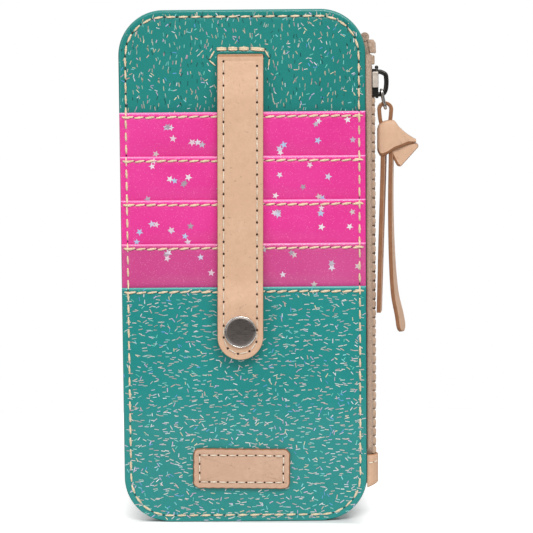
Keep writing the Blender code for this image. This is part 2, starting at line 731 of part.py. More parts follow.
def tape_path(side):
    """Section of one tape half, from the sewn edge round the fold of its leaf, out
    beside the slider, and into the slot where it meets the teeth. side is -1 in
    front and +1 behind."""
    held = ZIP_GAP / 2 - FIT - TAPE / 2
    hug = FOLD + FIT + TAPE / 2
    fold_x = EDGE_X - FOLD
    fold_y = ZIP_GAP / 2 + FOLD
    beside = SLIDER_HALF + ZIP_CLEAR + TAPE / 2 + 0.1 * MM
    corner = [Vector((fold_x + hug * math.sin(a), fold_y - hug * math.cos(a)))
              for a in (math.radians(t) for t in (0, 32, 62, 86))]
    points = [Vector((TAPE_EDGE, held)), *corner,
              Vector((mix(fold_x + hug, TAPE_PLANE, 0.28), beside)),
              Vector((mix(fold_x + hug, TAPE_PLANE, 0.66), beside + 0.12 * MM)),
              Vector((TAPE_PLANE - 0.18 * MM, beside - 0.12 * MM)),
              Vector((TAPE_PLANE, beside - 0.75 * MM)),
              Vector((TAPE_PLANE, CHAIN_HALF + ZIP_CLEAR))]
    return [Vector((p.x, side * p.y)) for p in points]


def pinch(z):
    """The tape is drawn flat where the leather tab takes it in."""
    return mix(0.5, 1.0, smooth((z - TAB_TOP) / (3.0 * MM)))


def tape_half(side):
    path = tape_path(side)
    loop = []
    for i, p in enumerate(path):
        ahead = path[min(i + 1, len(path) - 1)] - path[max(i - 1, 0)]
        normal = Vector((-ahead.y, ahead.x)).normalized() * (TAPE / 2)
        loop.append((p + normal, p - normal))
    section = [a for a, b in loop] + [b for a, b in reversed(loop)]
    heights = [TAPE_BOTTOM, TAB_TOP, TAB_TOP + 1.5 * MM, TAB_TOP + 3.0 * MM, TAPE_TOP]
    rings = []
    for z in heights:
        ring = []
        for p in section:
            free = smooth((p.x - EDGE_X + FOLD) / (1.4 * MM))
            y = p.y * mix(1.0, pinch(z), free)
            ring.append((p.x, y, z))
        rings.append(ring)
    return loft(rings)


def tooth_outline(side, z):
    """One moulded tooth in the plane of the chain: a broad base astride the tape's
    edge, a neck, and a head that reaches across the middle."""
    base, neck, head = TOOTH_BASE / 2, TOOTH_NECK / 2, TOOTH_HEAD / 2
    inner = CHAIN_HALF - 1.0 * MM
    half = [(CHAIN_HALF, base), (inner, base), (inner - 0.7 * MM, neck),
            (0.45 * MM, neck), (0.1 * MM, head), (-HEAD_REACH, head - 0.35 * MM)]
    points = half + [(y, -dz) for y, dz in reversed(half)]
    return [(TOOTH_IN, side * y, z + dz) for y, dz in points]


def make_teeth(frame, name, side, start):
    """One side of the chain: the edge cord with all its teeth moulded on."""
    cord_x = TAPE_PLANE - CORD / 2
    edge = side * CHAIN_HALF - side * 0.1 * MM
    inner = side * (CHAIN_HALF - 0.1 * MM - CORD)
    top = SLIDER_TOP + CHAIN_BEYOND
    low_y, high_y = min(edge, inner), max(edge, inner)
    cord = add(name, box((cord_x, low_y, TOOTH_START - TOOTH_PITCH / 2),
                         (cord_x + CORD, high_y, top)), BEIGE, frame)
    bm = bmesh.new()
    for k in range(TOOTH_COUNT):
        outline = tooth_outline(side, start + k * TOOTH_PITCH)
        face = bm.faces.new([bm.verts.new(p) for p in outline])
        pushed = bmesh.ops.extrude_face_region(bm, geom=[face])
        moved = [v for v in pushed["geom"] if isinstance(v, bmesh.types.BMVert)]
        bmesh.ops.translate(bm, verts=moved, vec=Vector((TOOTH_THICK, 0, 0)))
    teeth = add(name + "_moulded", bm, BEIGE, frame)
    teeth.hide_render = True
    teeth.display_type = "WIRE"
    boolean(cord, teeth, "UNION")


def block(low, high, width=0.4 * MM):
    """A box with its edges cut, for the small moulded stops."""
    bm = box(low, high)
    bmesh.ops.bevel(bm, geom=bm.edges, offset=width, segments=1, affect="EDGES")
    return bm


def make_zip(frame):
    add("zip_tape_front", tape_half(-1), TAPE_LOOK, frame, round_edges=True)
    add("zip_tape_back", tape_half(1), TAPE_LOOK, frame, round_edges=True)
    make_teeth(frame, "zip_teeth_front", -1, TOOTH_START)
    make_teeth(frame, "zip_teeth_back", 1, TOOTH_START + TOOTH_PITCH / 2)
    foot = SLIDER_TOP + CHAIN_BEYOND + ZIP_CLEAR
    for name, side in (("zip_stop_front", -1), ("zip_stop_back", 1)):
        ys = sorted((side * CHAIN_HALF, side * STOP_INNER))
        add(name, block((TOOTH_IN, ys[0], foot), (TOOTH_OUT, ys[1], foot + STOP_HEIGHT)),
            BEIGE, frame)
    add("zip_bottom_stop", block((TOOTH_IN, -BOTTOM_STOP_HALF, STOP_FOOT),
                                 (TOOTH_OUT, BOTTOM_STOP_HALF, STOP_FOOT + BOTTOM_STOP)),
        BEIGE, frame)

    # The tape's top end, folded over and rolled into the seam
    y = FRONT_INNER + 0.4 * MM
    low = foot + STOP_HEIGHT + 2 * ZIP_CLEAR
    high = low + TOP_END_HEIGHT
    left = EDGE_X - 2.5 * MM
    roll = Vector((EDGE_X + 0.1 * MM, y, high + TOP_END_ROLL - 0.1 * MM))
    outline = [Vector((left, y, low + 0.6 * MM)), Vector((TOOTH_IN - 0.4 * MM, y, low)),
               Vector((TOOTH_OUT - 0.6 * MM, y, low)), Vector((TOOTH_OUT, y, low + 0.6 * MM)),
               Vector((TOOTH_OUT, y, high - 0.8 * MM)),
               Vector((TOOTH_OUT - 0.8 * MM, y, high))]
    for i in range(8):
        a = math.radians(-40 + i * 34)
        outline.append(roll + TOP_END_ROLL * Vector((math.cos(a), 0.0, math.sin(a))))
    outline.append(Vector((left, y, high - 0.4 * MM)))
    add("zip_top_end", prism(outline, (0, TOP_END_DEPTH, 0)), TAPE_LOOK, frame)

    # The leather tab folded round the lower end
    leg = TAB_HALF - TAB_LEATHER / 2
    left = EDGE_X + 0.25 * MM
    bend = TAB_OUT - TAB_LEATHER / 2
    path = [Vector((left, -leg)), Vector((mix(left, bend, 0.4), -leg))]
    for i in range(1, 8):
        a = math.radians(-90 + i * 22.5)
        path.append(Vector((mix(left, bend, 0.4) + (bend - mix(left, bend, 0.4)) * math.cos(a),
                            leg * math.sin(a))))
    path += [Vector((mix(left, bend, 0.4), leg)), Vector((left, leg))]
    rings = []
    pairs = []
    for i, p in enumerate(path):
        ahead = path[min(i + 1, len(path) - 1)] - path[max(i - 1, 0)]
        normal = Vector((ahead.y, -ahead.x)).normalized() * (TAB_LEATHER / 2)
        pairs.append((p + normal, p - normal))
    section = [a for a, b in pairs] + [b for a, b in reversed(pairs)]
    rings.append([(p.x, p.y, TAB_TOP - TAB_HEIGHT + TAB_SLANT * (p.x - left))
                  for p in section])
    rings.append([(p.x, p.y, TAB_TOP) for p in section])
    add("zip_end_tab", loft(rings), TAN, frame)


def make_slider(frame):
    guide = empty("slider_guide", (PLATE_OUT, 0.0, SLIDER_BOTTOM), frame)
    low, high = SLIDER_BOTTOM, SLIDER_TOP
    slot_out = TAPE_PLANE + TAPE / 2 + ZIP_CLEAR
    slot_in = TAPE_PLANE - TAPE / 2 - ZIP_CLEAR
    inner_face = TOOTH_IN - ZIP_CLEAR
    inner_back = inner_face - 0.65 * MM
    inner_half = SLIDER_HALF - 0.3 * MM

    def channel(plate_out, plate_in, lip, half):
        wall = half - SLIDER_WALL
        outline = [(plate_out, -half), (lip, -half), (lip, -wall), (plate_in, -wall),
                   (plate_in, wall), (lip, wall), (lip, half), (plate_out, half)]
        return prism([(x, y, low) for x, y in outline], (0, 0, high - low))

    body = add("slider_body", channel(PLATE_OUT, PLATE_IN, slot_out, SLIDER_HALF),
               DARK_METAL, frame)
    inner = cutter("slider_inner", channel(inner_back, inner_face, slot_in, inner_half),
                   frame)
    middle = high - 3.0 * MM
    diamond = [(inner_back + 0.1 * MM, -DIVIDER_HALF, middle),
               (inner_back + 0.1 * MM, 0.0, middle - 2.0 * MM),
               (inner_back + 0.1 * MM, DIVIDER_HALF, middle),
               (inner_back + 0.1 * MM, DIVIDER_HALF * 0.6, high - 0.2 * MM),
               (inner_back + 0.1 * MM, -DIVIDER_HALF * 0.6, high - 0.2 * MM)]
    divider = cutter("slider_divider", prism(
        diamond, (PLATE_OUT - inner_back - 0.2 * MM, 0, 0)), frame)
    shield = []
    for y, z in ((0.0, low), (SLIDER_TAIL - 0.8 * MM, low), (SLIDER_TAIL, low + 0.8 * MM),
                 (SLIDER_TAIL, low + 3.5 * MM), (SLIDER_HALF + FIT, low + 6.5 * MM),
                 (SLIDER_HALF + FIT, high - 2.2 * MM), (SLIDER_HALF - 0.9 * MM, high - 0.6 * MM),
                 (SLIDER_HALF - 2.0 * MM, high)):
        shield.append((inner_back - FIT, y, z))
    mirror = [(x, -y, z) for x, y, z in reversed(shield[1:])]
    outline = cutter("slider_shield", prism(
        shield + mirror, (PLATE_OUT - inner_back + 2 * FIT, 0, 0)), frame)
    boolean(body, inner, "UNION")
    boolean(body, divider, "UNION")
    boolean(body, outline, "INTERSECT")
    ball = bmesh.new()
    bmesh.ops.create_uvsphere(ball, u_segments=12, v_segments=8, radius=0.75 * MM)
    nose = cutter("slider_nose", ball, frame, at=(PLATE_OUT - 0.55 * MM, 0.0, high + 0.35 * MM))
    boolean(body, nose, "UNION")
    hang(body, guide)

    # The bail arches from the nose down to the tail of the outer plate
    foot = BAIL_FOOT
    peak = high - 1.5 * MM
    reach = PLATE_OUT + BAIL_REACH - BAIL_THICK / 2
    start = PLATE_OUT + FIT
    path = along([
        Vector((start, 0.0, peak)), Vector((start + 1.0 * MM, 0.0, peak + 0.1 * MM)),
        Vector((reach - 0.4 * MM, 0.0, peak - 0.9 * MM)), Vector((reach, 0.0, peak - 2.8 * MM)),
        Vector((reach, 0.0, mix(foot.z, peak, 0.42))),
        Vector((reach - 0.35 * MM, 0.0, foot.z + 1.5 * MM)),
        Vector((foot.x + 0.75 * MM, 0.0, foot.z + 0.05 * MM)), Vector((start, 0.0, foot.z - 0.1 * MM)),
    ], 21)
    sections = []
    for i, p in enumerate(path):
        ahead = path[min(i + 1, len(path) - 1)] - path[max(i - 1, 0)]
        if i in (0, len(path) - 1):
            ahead.z = 0.0
        normal = Vector((ahead.z, 0.0, -ahead.x)).normalized()
        ring = []
        for k in range(8):
            a = (k + 0.5) / 8 * math.tau
            ring.append(p + normal * (BAIL_THICK / 2 * 1.08 * math.cos(a))
                        + Vector((0.0, BAIL_WIDTH / 2 * 1.08 * math.sin(a), 0.0)))
        sections.append(ring)
    hang(add("slider_bail", loft(sections), DARK_METAL, frame, round_edges=True), guide)
    return guide


def make_pull(frame):
    # The wire link through the bail
    link_pivot = empty("link_pivot", BAIL_FOOT, frame)
    centre = (LINK_TOP + LINK_FOOT) / 2
    up = -LINK_DOWN
    reach, wide, bend = LINK_LENGTH / 2, LINK_HALF, 1.2 * MM
    route = []
    for quarter, (su, sy) in enumerate(((1, 1), (-1, 1), (-1, -1), (1, -1))):
        for i in range(4):
            a = (quarter + i / 3) * math.pi / 2
            route.append((su * (reach - bend) + bend * math.cos(a),
                          sy * (wide - bend) + bend * math.sin(a)))
    across = Vector((0.0, 1.0, 0.0))
    normal = up.cross(across)
    sections = []
    for i, (u, v) in enumerate(route):
        before, after = route[i - 1], route[(i + 1) % len(route)]
        ahead = Vector((after[0] - before[0], after[1] - before[1])).normalized()
        out = up * ahead.y - across * ahead.x
        spot = centre + up * u + across * v
        sections.append([spot + LINK_WIRE * (out * math.cos(k / 8 * math.tau)
                                             + normal * math.sin(k / 8 * math.tau))
                         for k in range(8)])
    hang(add("pull_link", loft(sections, closed=True), STEEL, frame, round_edges=True),
         link_pivot)

    # The knotted lace hangs from the foot of the link, in a loop round its wire
    pull_pivot = empty("pull_pivot", LINK_FOOT, frame)
    top = LINK_FOOT - Vector((0.0, 0.0, LOOP_RADIUS - LACE / 2 - LINK_WIRE - LINK_PLAY))
    arch = [top + LOOP_RADIUS * Vector((math.cos(math.radians(a)), 0.0,
                                        math.sin(math.radians(a))))
            for a in range(190, -11, -25)]
    legs = [Vector((top.x - 0.6 * LACE, 0.0, top.z - LOOP_LENGTH)),
            Vector((top.x - LACE, 0.0, top.z - 0.45 * LOOP_LENGTH)), *arch,
            Vector((top.x + LACE, 0.0, top.z - 0.45 * LOOP_LENGTH)),
            Vector((top.x + 0.6 * LACE, 0.0, top.z - LOOP_LENGTH))]
    widths = [0.7 * LACE_HALF, LACE_WAIST, *[LACE_WAIST] * len(arch), LACE_WAIST,
              0.7 * LACE_HALF]
    body = add("leather_pull", ribbon(legs, widths, LACE), TAN, frame)
    pieces = [cutter("knot_wrap", knot_wrap(top), frame),
              cutter("knot_flap", knot_flap(top), frame)]

    # Both tails hang edge on to the front, and the longer one sways out at its end
    short_x = top.x - KNOT_LEFT + LACE / 2 + 1.5 * MM
    short = [(0.3, TAIL_START), (0.2, 0.36 * SHORT_TAIL), (0.0, 0.66 * SHORT_TAIL),
             (-0.4, SHORT_TAIL)]
    long_x = short_x + TAIL_GAP
    long = [(0.3, TAIL_START), (-0.3, 0.38 * LONG_TAIL), (-0.1, 0.58 * LONG_TAIL)]
    for name, x, stops, swing in (("short_tail", short_x, short, 0.18),
                                  ("long_tail", long_x, long, 0.26)):
        course = [Vector((x + KNOT_UNIT * dx, 0.0, top.z - drop)) for dx, drop in stops]
        if stops is long:
            course += [Vector((x + 0.37 * TAIL_SWAY, 0.0, top.z - 0.78 * LONG_TAIL)),
                       Vector((x + TAIL_SWAY, 0.0, top.z - LONG_TAIL))]
        path = along(course, 9)
        half = [mix(0.9, 1.0, i / (len(path) - 1)) * LACE_HALF for i in range(len(path))]
        twist = [-swing * i / (len(path) - 1) for i in range(len(path))]
        pieces.append(cutter(name, ribbon(path, half, LACE, twist), frame))
    for piece in pieces:
        boolean(body, piece, "UNION")
    hang(body, pull_pivot)


def knot_wrap(top):
    """The band that closes the knot. It is broad and round where it wraps the neck,
    and narrows to a flat tip on the right. Each station gives how far right it is,
    its upper and lower edge below the loop's centre, and its half depth."""
    stations = [(0.1, 6.4, 16.0, 2.6), (1.3, 5.2, 17.9, 3.7), (3.3, 4.2, 17.6, 4.2),
                (6.6, 4.0, 15.2, 4.1), (8.6, 7.0, 14.6, 3.6), (11.2, 9.0, 13.6, 2.9),
                (14.0, 10.8, 13.0, 2.0), (15.0, 11.4, 12.6, 1.4)]
    sections = []
    for right, upper, lower, depth in stations:
        middle, half = (upper + lower) / 2, (lower - upper) / 2
        ring = []
        for k in range(12):
            a = (k + 0.5) / 12 * math.tau
            c, d = math.cos(a), math.sin(a)
            ring.append(top + KNOT_UNIT * Vector((
                right - KNOT_LEFT / KNOT_UNIT,
                depth * math.copysign(abs(c) ** 0.55, c),
                half * math.copysign(abs(d) ** 0.55, d) - middle)))
        sections.append(ring)
    return loft(sections)


def knot_flap(top):
    """The lace's flat end that comes out under the band."""
    outline = [(3.3, 13.4), (13.6, 12.4), (15.7, 13.0), (16.0, 14.4), (9.8, 21.4),
               (8.6, 21.9), (7.6, 21.5)]
    left = -KNOT_LEFT / KNOT_UNIT
    bm = prism([top + KNOT_UNIT * Vector((left + x, -2.9, -z)) for x, z in outline],
               (0.0, 3.4 * KNOT_UNIT, 0.0))
    bmesh.ops.bevel(bm, geom=bm.edges, offset=0.3 * KNOT_UNIT, segments=1, affect="EDGES")
    return bm


def set_origin(frame):
    """Put the world's origin under the middle of the organizer's own box."""
    bpy.context.view_layer.update()
    graph = bpy.context.evaluated_depsgraph_get()
    points = []
    for obj in bpy.data.objects:
        if obj.type == "MESH" and not obj.hide_render:
            shape = obj.evaluated_get(graph)
            points += [shape.matrix_world @ v.co for v in shape.data.vertices]
    low = Vector([min(p[i] for p in points) for i in range(3)])
    high = Vector([max(p[i] for p in points) for i in range(3)])
    frame.location = (-(low.x + high.x) / 2, -(low.y + high.y) / 2, -low.z)
    bpy.context.view_layer.update()
    size = (high - low) / MM
    print(f"size {size.x:.2f} x {size.y:.2f} x {size.z:.2f} mm, shift "
          f"{frame.location.x / MM:.3f} {frame.location.y / MM:.3f} {frame.location.z / MM:.3f}")
    for obj in bpy.data.objects:
        if obj.type == "EMPTY":
            at = obj.matrix_world.translation / MM
            print(f"{obj.name}: {at.x:.3f} {at.y:.3f} {at.z:.3f} mm")
    print(f"zip travel {ZIP_TRAVEL / MM:.2f} mm, front face {FRONT_FACE / MM:.2f} mm, "
          f"back face {(SEAM_BACK + LEAF + POCKET_RISE) / MM:.2f} mm")


clear_scene()

TEAL = material("teal_vinyl", (0.03, 0.29, 0.25), 0.25)
TEAL_DENSE = material("teal_vinyl_dense", (0.03, 0.30, 0.27), 0.25)
PINK = material("pink_vinyl", (0.80, 0.06, 0.33), 0.25)
CARD = material("grey_board", (0.35, 0.34, 0.32), 0.9)
CLOTH = material("lining_cloth", (0.45, 0.40, 0.34), 0.95)
TAN = material("natural_leather", (0.78, 0.52, 0.35), 0.6)
TAN_DARK = material("patch_leather", (0.62, 0.37, 0.23), 0.6)
TAPE_LOOK = material("zip_tape", (0.40, 0.27, 0.20), 0.9)
BEIGE = material("zip_teeth", (0.52, 0.38, 0.27), 0.5)
DARK_METAL = material("gunmetal", (0.10, 0.09, 0.08), 0.3, 1.0)
STEEL = material("nickel", (0.55, 0.53, 0.50), 0.25, 1.0)
CUT_LOOK = material("guide", (0.8, 0.2, 0.2), 0.5)

ORGANIZER = empty("organizer", (0, 0, 0))
make_leaves(ORGANIZER)
LOWER = make_pockets(ORGANIZER)
make_strap(ORGANIZER, LOWER)
make_patch(ORGANIZER)
make_zip(ORGANIZER)
make_slider(ORGANIZER)
make_pull(ORGANIZER)
set_origin(ORGANIZER)
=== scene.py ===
# %% [markdown]
# # A slim card organizer in glitter vinyl and natural leather
#
# This notebook dresses a solid model of a card organizer. The solids are exact but
# plain, so every soft piece is made again here as a finer surface: turned vinyl edges
# with a sewn groove, twisted thread, glitter, stars, grained leather with brown cut
# edges, and a woven zip tape. Every surface is worked out with numpy as a whole array.
#
# Lengths are in millimetres in the organizer's own frame: x to the right from the
# middle of the body, y backwards from the plane of the zip, z up from its foot.

# %% Load the solid model
import math

import bmesh
import bpy
import numpy as np
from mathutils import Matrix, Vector


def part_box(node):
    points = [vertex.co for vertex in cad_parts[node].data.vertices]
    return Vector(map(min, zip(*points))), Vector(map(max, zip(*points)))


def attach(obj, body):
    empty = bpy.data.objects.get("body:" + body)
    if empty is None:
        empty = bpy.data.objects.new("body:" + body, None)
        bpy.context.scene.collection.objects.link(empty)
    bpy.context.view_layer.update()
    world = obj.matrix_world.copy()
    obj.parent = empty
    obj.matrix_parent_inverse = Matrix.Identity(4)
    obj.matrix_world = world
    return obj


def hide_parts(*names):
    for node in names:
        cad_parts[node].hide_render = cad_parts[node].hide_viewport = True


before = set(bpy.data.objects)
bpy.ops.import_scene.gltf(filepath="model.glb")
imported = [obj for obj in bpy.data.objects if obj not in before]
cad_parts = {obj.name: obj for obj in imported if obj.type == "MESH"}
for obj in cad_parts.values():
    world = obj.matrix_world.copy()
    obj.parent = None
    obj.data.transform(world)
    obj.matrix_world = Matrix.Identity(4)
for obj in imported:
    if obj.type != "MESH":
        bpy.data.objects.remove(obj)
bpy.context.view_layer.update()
MM = 0.001

# %% [markdown]
# ## Where the organizer's own frame lies
#
# The body is 95.3 mm wide and 200 mm tall with 17.5 mm corners. The front leaf's box
# says where its middle and its face are, so the two frames need no fitting.

# %% Sizes of the body and the shift between the frames
BODY_WIDTH, BODY_HEIGHT, CORNER = 95.3, 200.0, 17.5
EDGE_X = BODY_WIDTH / 2
FACE_Y, LEAF, SHEET, TURN_IN = -4.75, 2.1, 0.7, 8.0
low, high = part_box("front_panel")
SHIFT = np.array([(low[0] + high[0]) / 2, low[1] - FACE_Y * MM, low[2]])
print("shift", np.round(SHIFT / MM, 3), "mm")

# %% [markdown]
# ## Putting a surface into Blender
#
# A piece is an array of points and arrays of faces. Each face can have one of several
# looks, and each point can carry a tint and a place on a pattern.

# %% Arrays into a mesh
def show(name, data):
    """A new object in the scene."""
    made = bpy.data.objects.new(name, data)
    bpy.context.scene.collection.objects.link(made)
    return made


def put(name, points, faces, body, slot, looks, kinds=None, tint=None, uv=None,
        weld=0.0, replaces=(), sharp=None):
    """An object from points in mm and a list of face arrays; kinds is each face's look."""
    points = np.asarray(points, float).reshape(-1, 3) * MM + SHIFT
    mesh = bpy.data.meshes.new(name)
    mesh.from_pydata(points, [], [f for group in faces for f in np.asarray(group).tolist()])
    for each in looks:
        mesh.materials.append(each)
    if kinds is not None:
        mesh.polygons.foreach_set("material_index", np.concatenate(kinds).astype(np.int32))
    if tint is not None:
        layer = mesh.color_attributes.new("tint", "FLOAT_COLOR", "POINT")
        rgba = np.ones((len(points), 4))
        rgba[:, :3] = np.asarray(tint).reshape(-1, 3)
        layer.data.foreach_set("color", rgba.ravel())
    if uv is not None:
        corners = np.zeros(len(mesh.loops), np.int32)
        mesh.loops.foreach_get("vertex_index", corners)
        layer = mesh.uv_layers.new(name="pattern")
        layer.uv.foreach_set("vector", np.reshape(uv, (-1, 2))[corners].astype(np.float32).ravel())
    if weld:
        bm = bmesh.new()
        bm.from_mesh(mesh)
        bmesh.ops.remove_doubles(bm, verts=bm.verts, dist=weld * MM)
        bmesh.ops.dissolve_degenerate(bm, dist=1e-7, edges=bm.edges)
        bmesh.ops.recalc_face_normals(bm, faces=bm.faces)
        bm.to_mesh(mesh)
        bm.free()
    mesh.shade_smooth()
    if sharp is not None:
        mesh.set_sharp_from_angle(angle=math.radians(sharp))
    piece = show(name, mesh)
    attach(piece, body)
    if replaces:
        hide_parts(*replaces)
    return piece


# %% [markdown]
# Places and directions are arrays too, with their coordinates last.

# %% Directions and curves
def coords(*parts):
    """Places from their coordinates; a plain number is the same for every place."""
    return np.stack(np.broadcast_arrays(*parts), axis=-1)


def spokes(angle):
    """Directions at the given angles, by cosine and sine."""
    return coords(np.cos(angle), np.sin(angle))


def unit(ways):
    """Directions of length 1: each divided by its own length."""
    return ways / np.linalg.norm(ways, axis=-1, keepdims=True)


def beside(path):
    """Directions to the right of a flat path: the way ahead, turned by a quarter."""
    ahead = np.gradient(path, axis=0)
    return unit(coords(ahead[:, 1], -ahead[:, 0]))


def upright(flat):
    """Flat places set up in the plane of the zip, where y is 0."""
    return coords(flat[:, 0], 0.0, flat[:, 1])


def distances(points):
    """Distance along a chain of points, from 0 at its first."""
    steps = np.linalg.norm(np.diff(points, axis=0), axis=1)
    return np.concatenate([[0.0], np.cumsum(steps)])


def smooth(t):
    """An S-curve from 0 to 1: three times the square less twice the cube."""
    t = np.clip(t, 0.0, 1.0)
    return t * t * (3.0 - 2.0 * t)


def mix(a, b, t):
    """From a to b in a straight line as t goes from 0 to 1."""
    return a + (b - a) * t


def curve(points, count):
    """Even points on a smooth curve through the given ones, by cubic blending."""
    points = np.asarray(points, float)
    ends = np.concatenate([[2 * points[0] - points[1]], points, [2 * points[-1] - points[-2]]])
    s = np.linspace(0, len(points) - 1 - 1e-9, 24 * len(points))
    i = s.astype(int)
    t = (s - i)[:, None]
    a, b, c, d = ends[i], ends[i + 1], ends[i + 2], ends[i + 3]
    fine = 0.5 * (2 * b + (c - a) * t + (2 * a - 5 * b + 4 * c - d) * t ** 2
                  + (3 * b - a - 3 * c + d) * t ** 3)
    run = distances(fine)
    want = np.linspace(0, run[-1], count)
    return np.stack([np.interp(want, run, fine[:, k]) for k in range(points.shape[1])], axis=1)


# %% [markdown]
# Most surfaces are grids of points, closed sections carried along a line, or one small
# shape repeated. Short helpers number their faces.

# %% Faces of grids
def grid_faces(rows, columns, around=False, start=0):
    """Quads of a grid numbered row by row; around joins the last column to the first."""
    i = np.arange(rows - 1)[:, None]
    j = np.arange(columns if around else columns - 1)[None, :]
    k = (j + 1) % columns
    quads = [i * columns + j, i * columns + k, (i + 1) * columns + k, (i + 1) * columns + j]
    return np.stack(quads, axis=-1).reshape(-1, 4) + start


def loft_faces(rows, columns, start=0):
    """Faces of a closed section carried along a line, with one face over each end."""
    ring = np.arange(columns)[None] + start
    return [grid_faces(rows, columns, around=True, start=start), ring,
            ring[:, ::-1] + (rows - 1) * columns]


def repeated(faces, count, size):
    """The faces of one shape, numbered on for count shapes of so many points each."""
    return np.concatenate(faces[None] + (np.arange(count) * size)[:, None, None])


def fan(count):
    """Triangles from point 0 to each pair of neighbours in the ring of points after it."""
    k = np.arange(count)
    return coords(0, 1 + k, 1 + (k + 1) % count)


def circle(count):
    """Even angles once round."""
    return np.arange(count) / count * math.tau


def put_rings(name, x, y, z, *rest, **options):
    """A piece whose rows of points are closed rings, one beside the other."""
    return put(name, coords(x, y, z), [grid_faces(*np.shape(x), around=True)], *rest, **options)


# %% [markdown]
# ## Looks
#
# Every finish is a small node tree on Principled BSDF. Patterns read object coordinates,
# or the piece's own pattern coordinates where they have to follow a bent surface.

# %% A short way to write node trees
def look(name, colour, roughness, metallic=0.0, **sockets):
    """A material with the given plain values; its tree is added to afterwards."""
    made = bpy.data.materials.new(name)
    made.use_nodes = True
    shader = made.node_tree.nodes["Principled BSDF"]
    shader.inputs["Base Color"].default_value = (*colour, 1.0)
    shader.inputs["Roughness"].default_value = roughness
    shader.inputs["Metallic"].default_value = metallic
    for key, value in sockets.items():
        shader.inputs[key.replace("_", " ")].default_value = value
    return made


def node(made, kind, inputs=None, **settings):
    """A node with its settings, and its inputs as plain values or links."""
    new = made.node_tree.nodes.new("ShaderNode" + kind)
    for key, value in settings.items():
        setattr(new, key, value)
    for key, value in (inputs or {}).items():
        if isinstance(value, bpy.types.NodeSocket):
            made.node_tree.links.new(value, new.inputs[key])
        else:
            new.inputs[key].default_value = value
    return new


def feed(made, socket, value):
    """Link a value to one input of the look's shader."""
    made.node_tree.links.new(value, made.node_tree.nodes["Principled BSDF"].inputs[socket])


def blend(made, factor, first, second, mode="MIX"):
    """Mix of two colours by a factor; a colour may be a socket or a plain value."""
    new = made.node_tree.nodes.new("ShaderNodeMix")
    new.data_type, new.blend_type = "RGBA", mode
    for index, value in ((0, factor), (6, first), (7, second)):
        if isinstance(value, bpy.types.NodeSocket):
            made.node_tree.links.new(value, new.inputs[index])
        else:
            new.inputs[index].default_value = value if index == 0 else (*value, 1.0)
    return new.outputs[2]


def band(made, value, low, high, to_low=0.0, to_high=1.0):
    """A value stretched so that low becomes to_low and high becomes to_high."""
    return node(made, "MapRange", {"Value": value, "From Min": low, "From Max": high,
                                   "To Min": to_low, "To Max": to_high}).outputs[0]


def sums(made, kind, *values):
    """One step of arithmetic on values."""
    return node(made, "Math", dict(enumerate(values)), operation=kind).outputs[0]


# %% [markdown]
# Patterns start from a place, turn it into soft random values, and go into the colour
# or bend the normals.

# %% Patterns
def place(made, pattern=False):
    """Object coordinates in metres, or the piece's own pattern coordinates."""
    if pattern:
        return node(made, "UVMap", uv_map="pattern").outputs[0]
    return node(made, "TexCoord").outputs["Object"]


def noise(made, where, scale, detail=2.0, rough=0.5):
    """Soft random values, with about scale blots to the metre."""
    return node(made, "TexNoise", {"Vector": where, "Scale": scale, "Detail": detail,
                                   "Roughness": rough}).outputs["Fac"]


def bump(made, height, distance, strength=1.0, over=None):
    """Normals bent by a height, in metres at its full value, over other normals."""
    inputs = {"Height": height, "Distance": distance, "Strength": strength}
    if over is not None:
        inputs["Normal"] = over
    return node(made, "Bump", inputs).outputs[0]


def speckle(made, dark, pale, scale, detail=2.0, rough=0.5):
    """Colour a look by two colours mixed by a noise."""
    spots = noise(made, place(made), scale, detail, rough)
    feed(made, "Base Color", blend(made, spots, dark, pale))


def shade(colour, factor):
    """A colour with each part times a factor."""
    return tuple(factor * c for c in colour)


# %% [markdown]
# ### Glitter vinyl
#
# The sheet is a coloured film under a clear glossy layer. Its colour drifts a little, and very fine
# specks of glitter catch the light. The clear layer is the coat. Over a fold the sheet gets a paler
# colour, a painted highlight.

# %% Vinyl looks
def vinyl(name, colour, deep, fleck, amount):
    """Colour that drifts to a deeper one, with flecks in an amount of the tiny cells."""
    made = look(name, colour, 0.36, Coat_Weight=0.5, Coat_Roughness=0.12, Coat_IOR=1.45,
                Specular_IOR_Level=0.35)
    where = place(made)
    drift = band(made, noise(made, where, 26.0, 3.0), 0.3, 0.7)
    tone = blend(made, drift, deep, colour)
    specks = node(made, "TexVoronoi", {"Vector": where, "Scale": 2300.0}, feature="F1")
    chosen = node(made, "SeparateColor", {0: specks.outputs["Color"]}).outputs[0]
    bright = band(made, chosen, 1.0 - amount, 1.0)
    near = band(made, specks.outputs["Distance"], 0.36, 0.16)
    tone = blend(made, sums(made, "MULTIPLY", bright, near), tone, fleck)
    feed(made, "Base Color", tone)
    wave = noise(made, where, 45.0, 2.0)
    fine = noise(made, where, 1100.0, 2.0)
    feed(made, "Normal", bump(made, fine, 0.00002, 0.4, bump(made, wave, 0.0005, 0.45)))
    return made


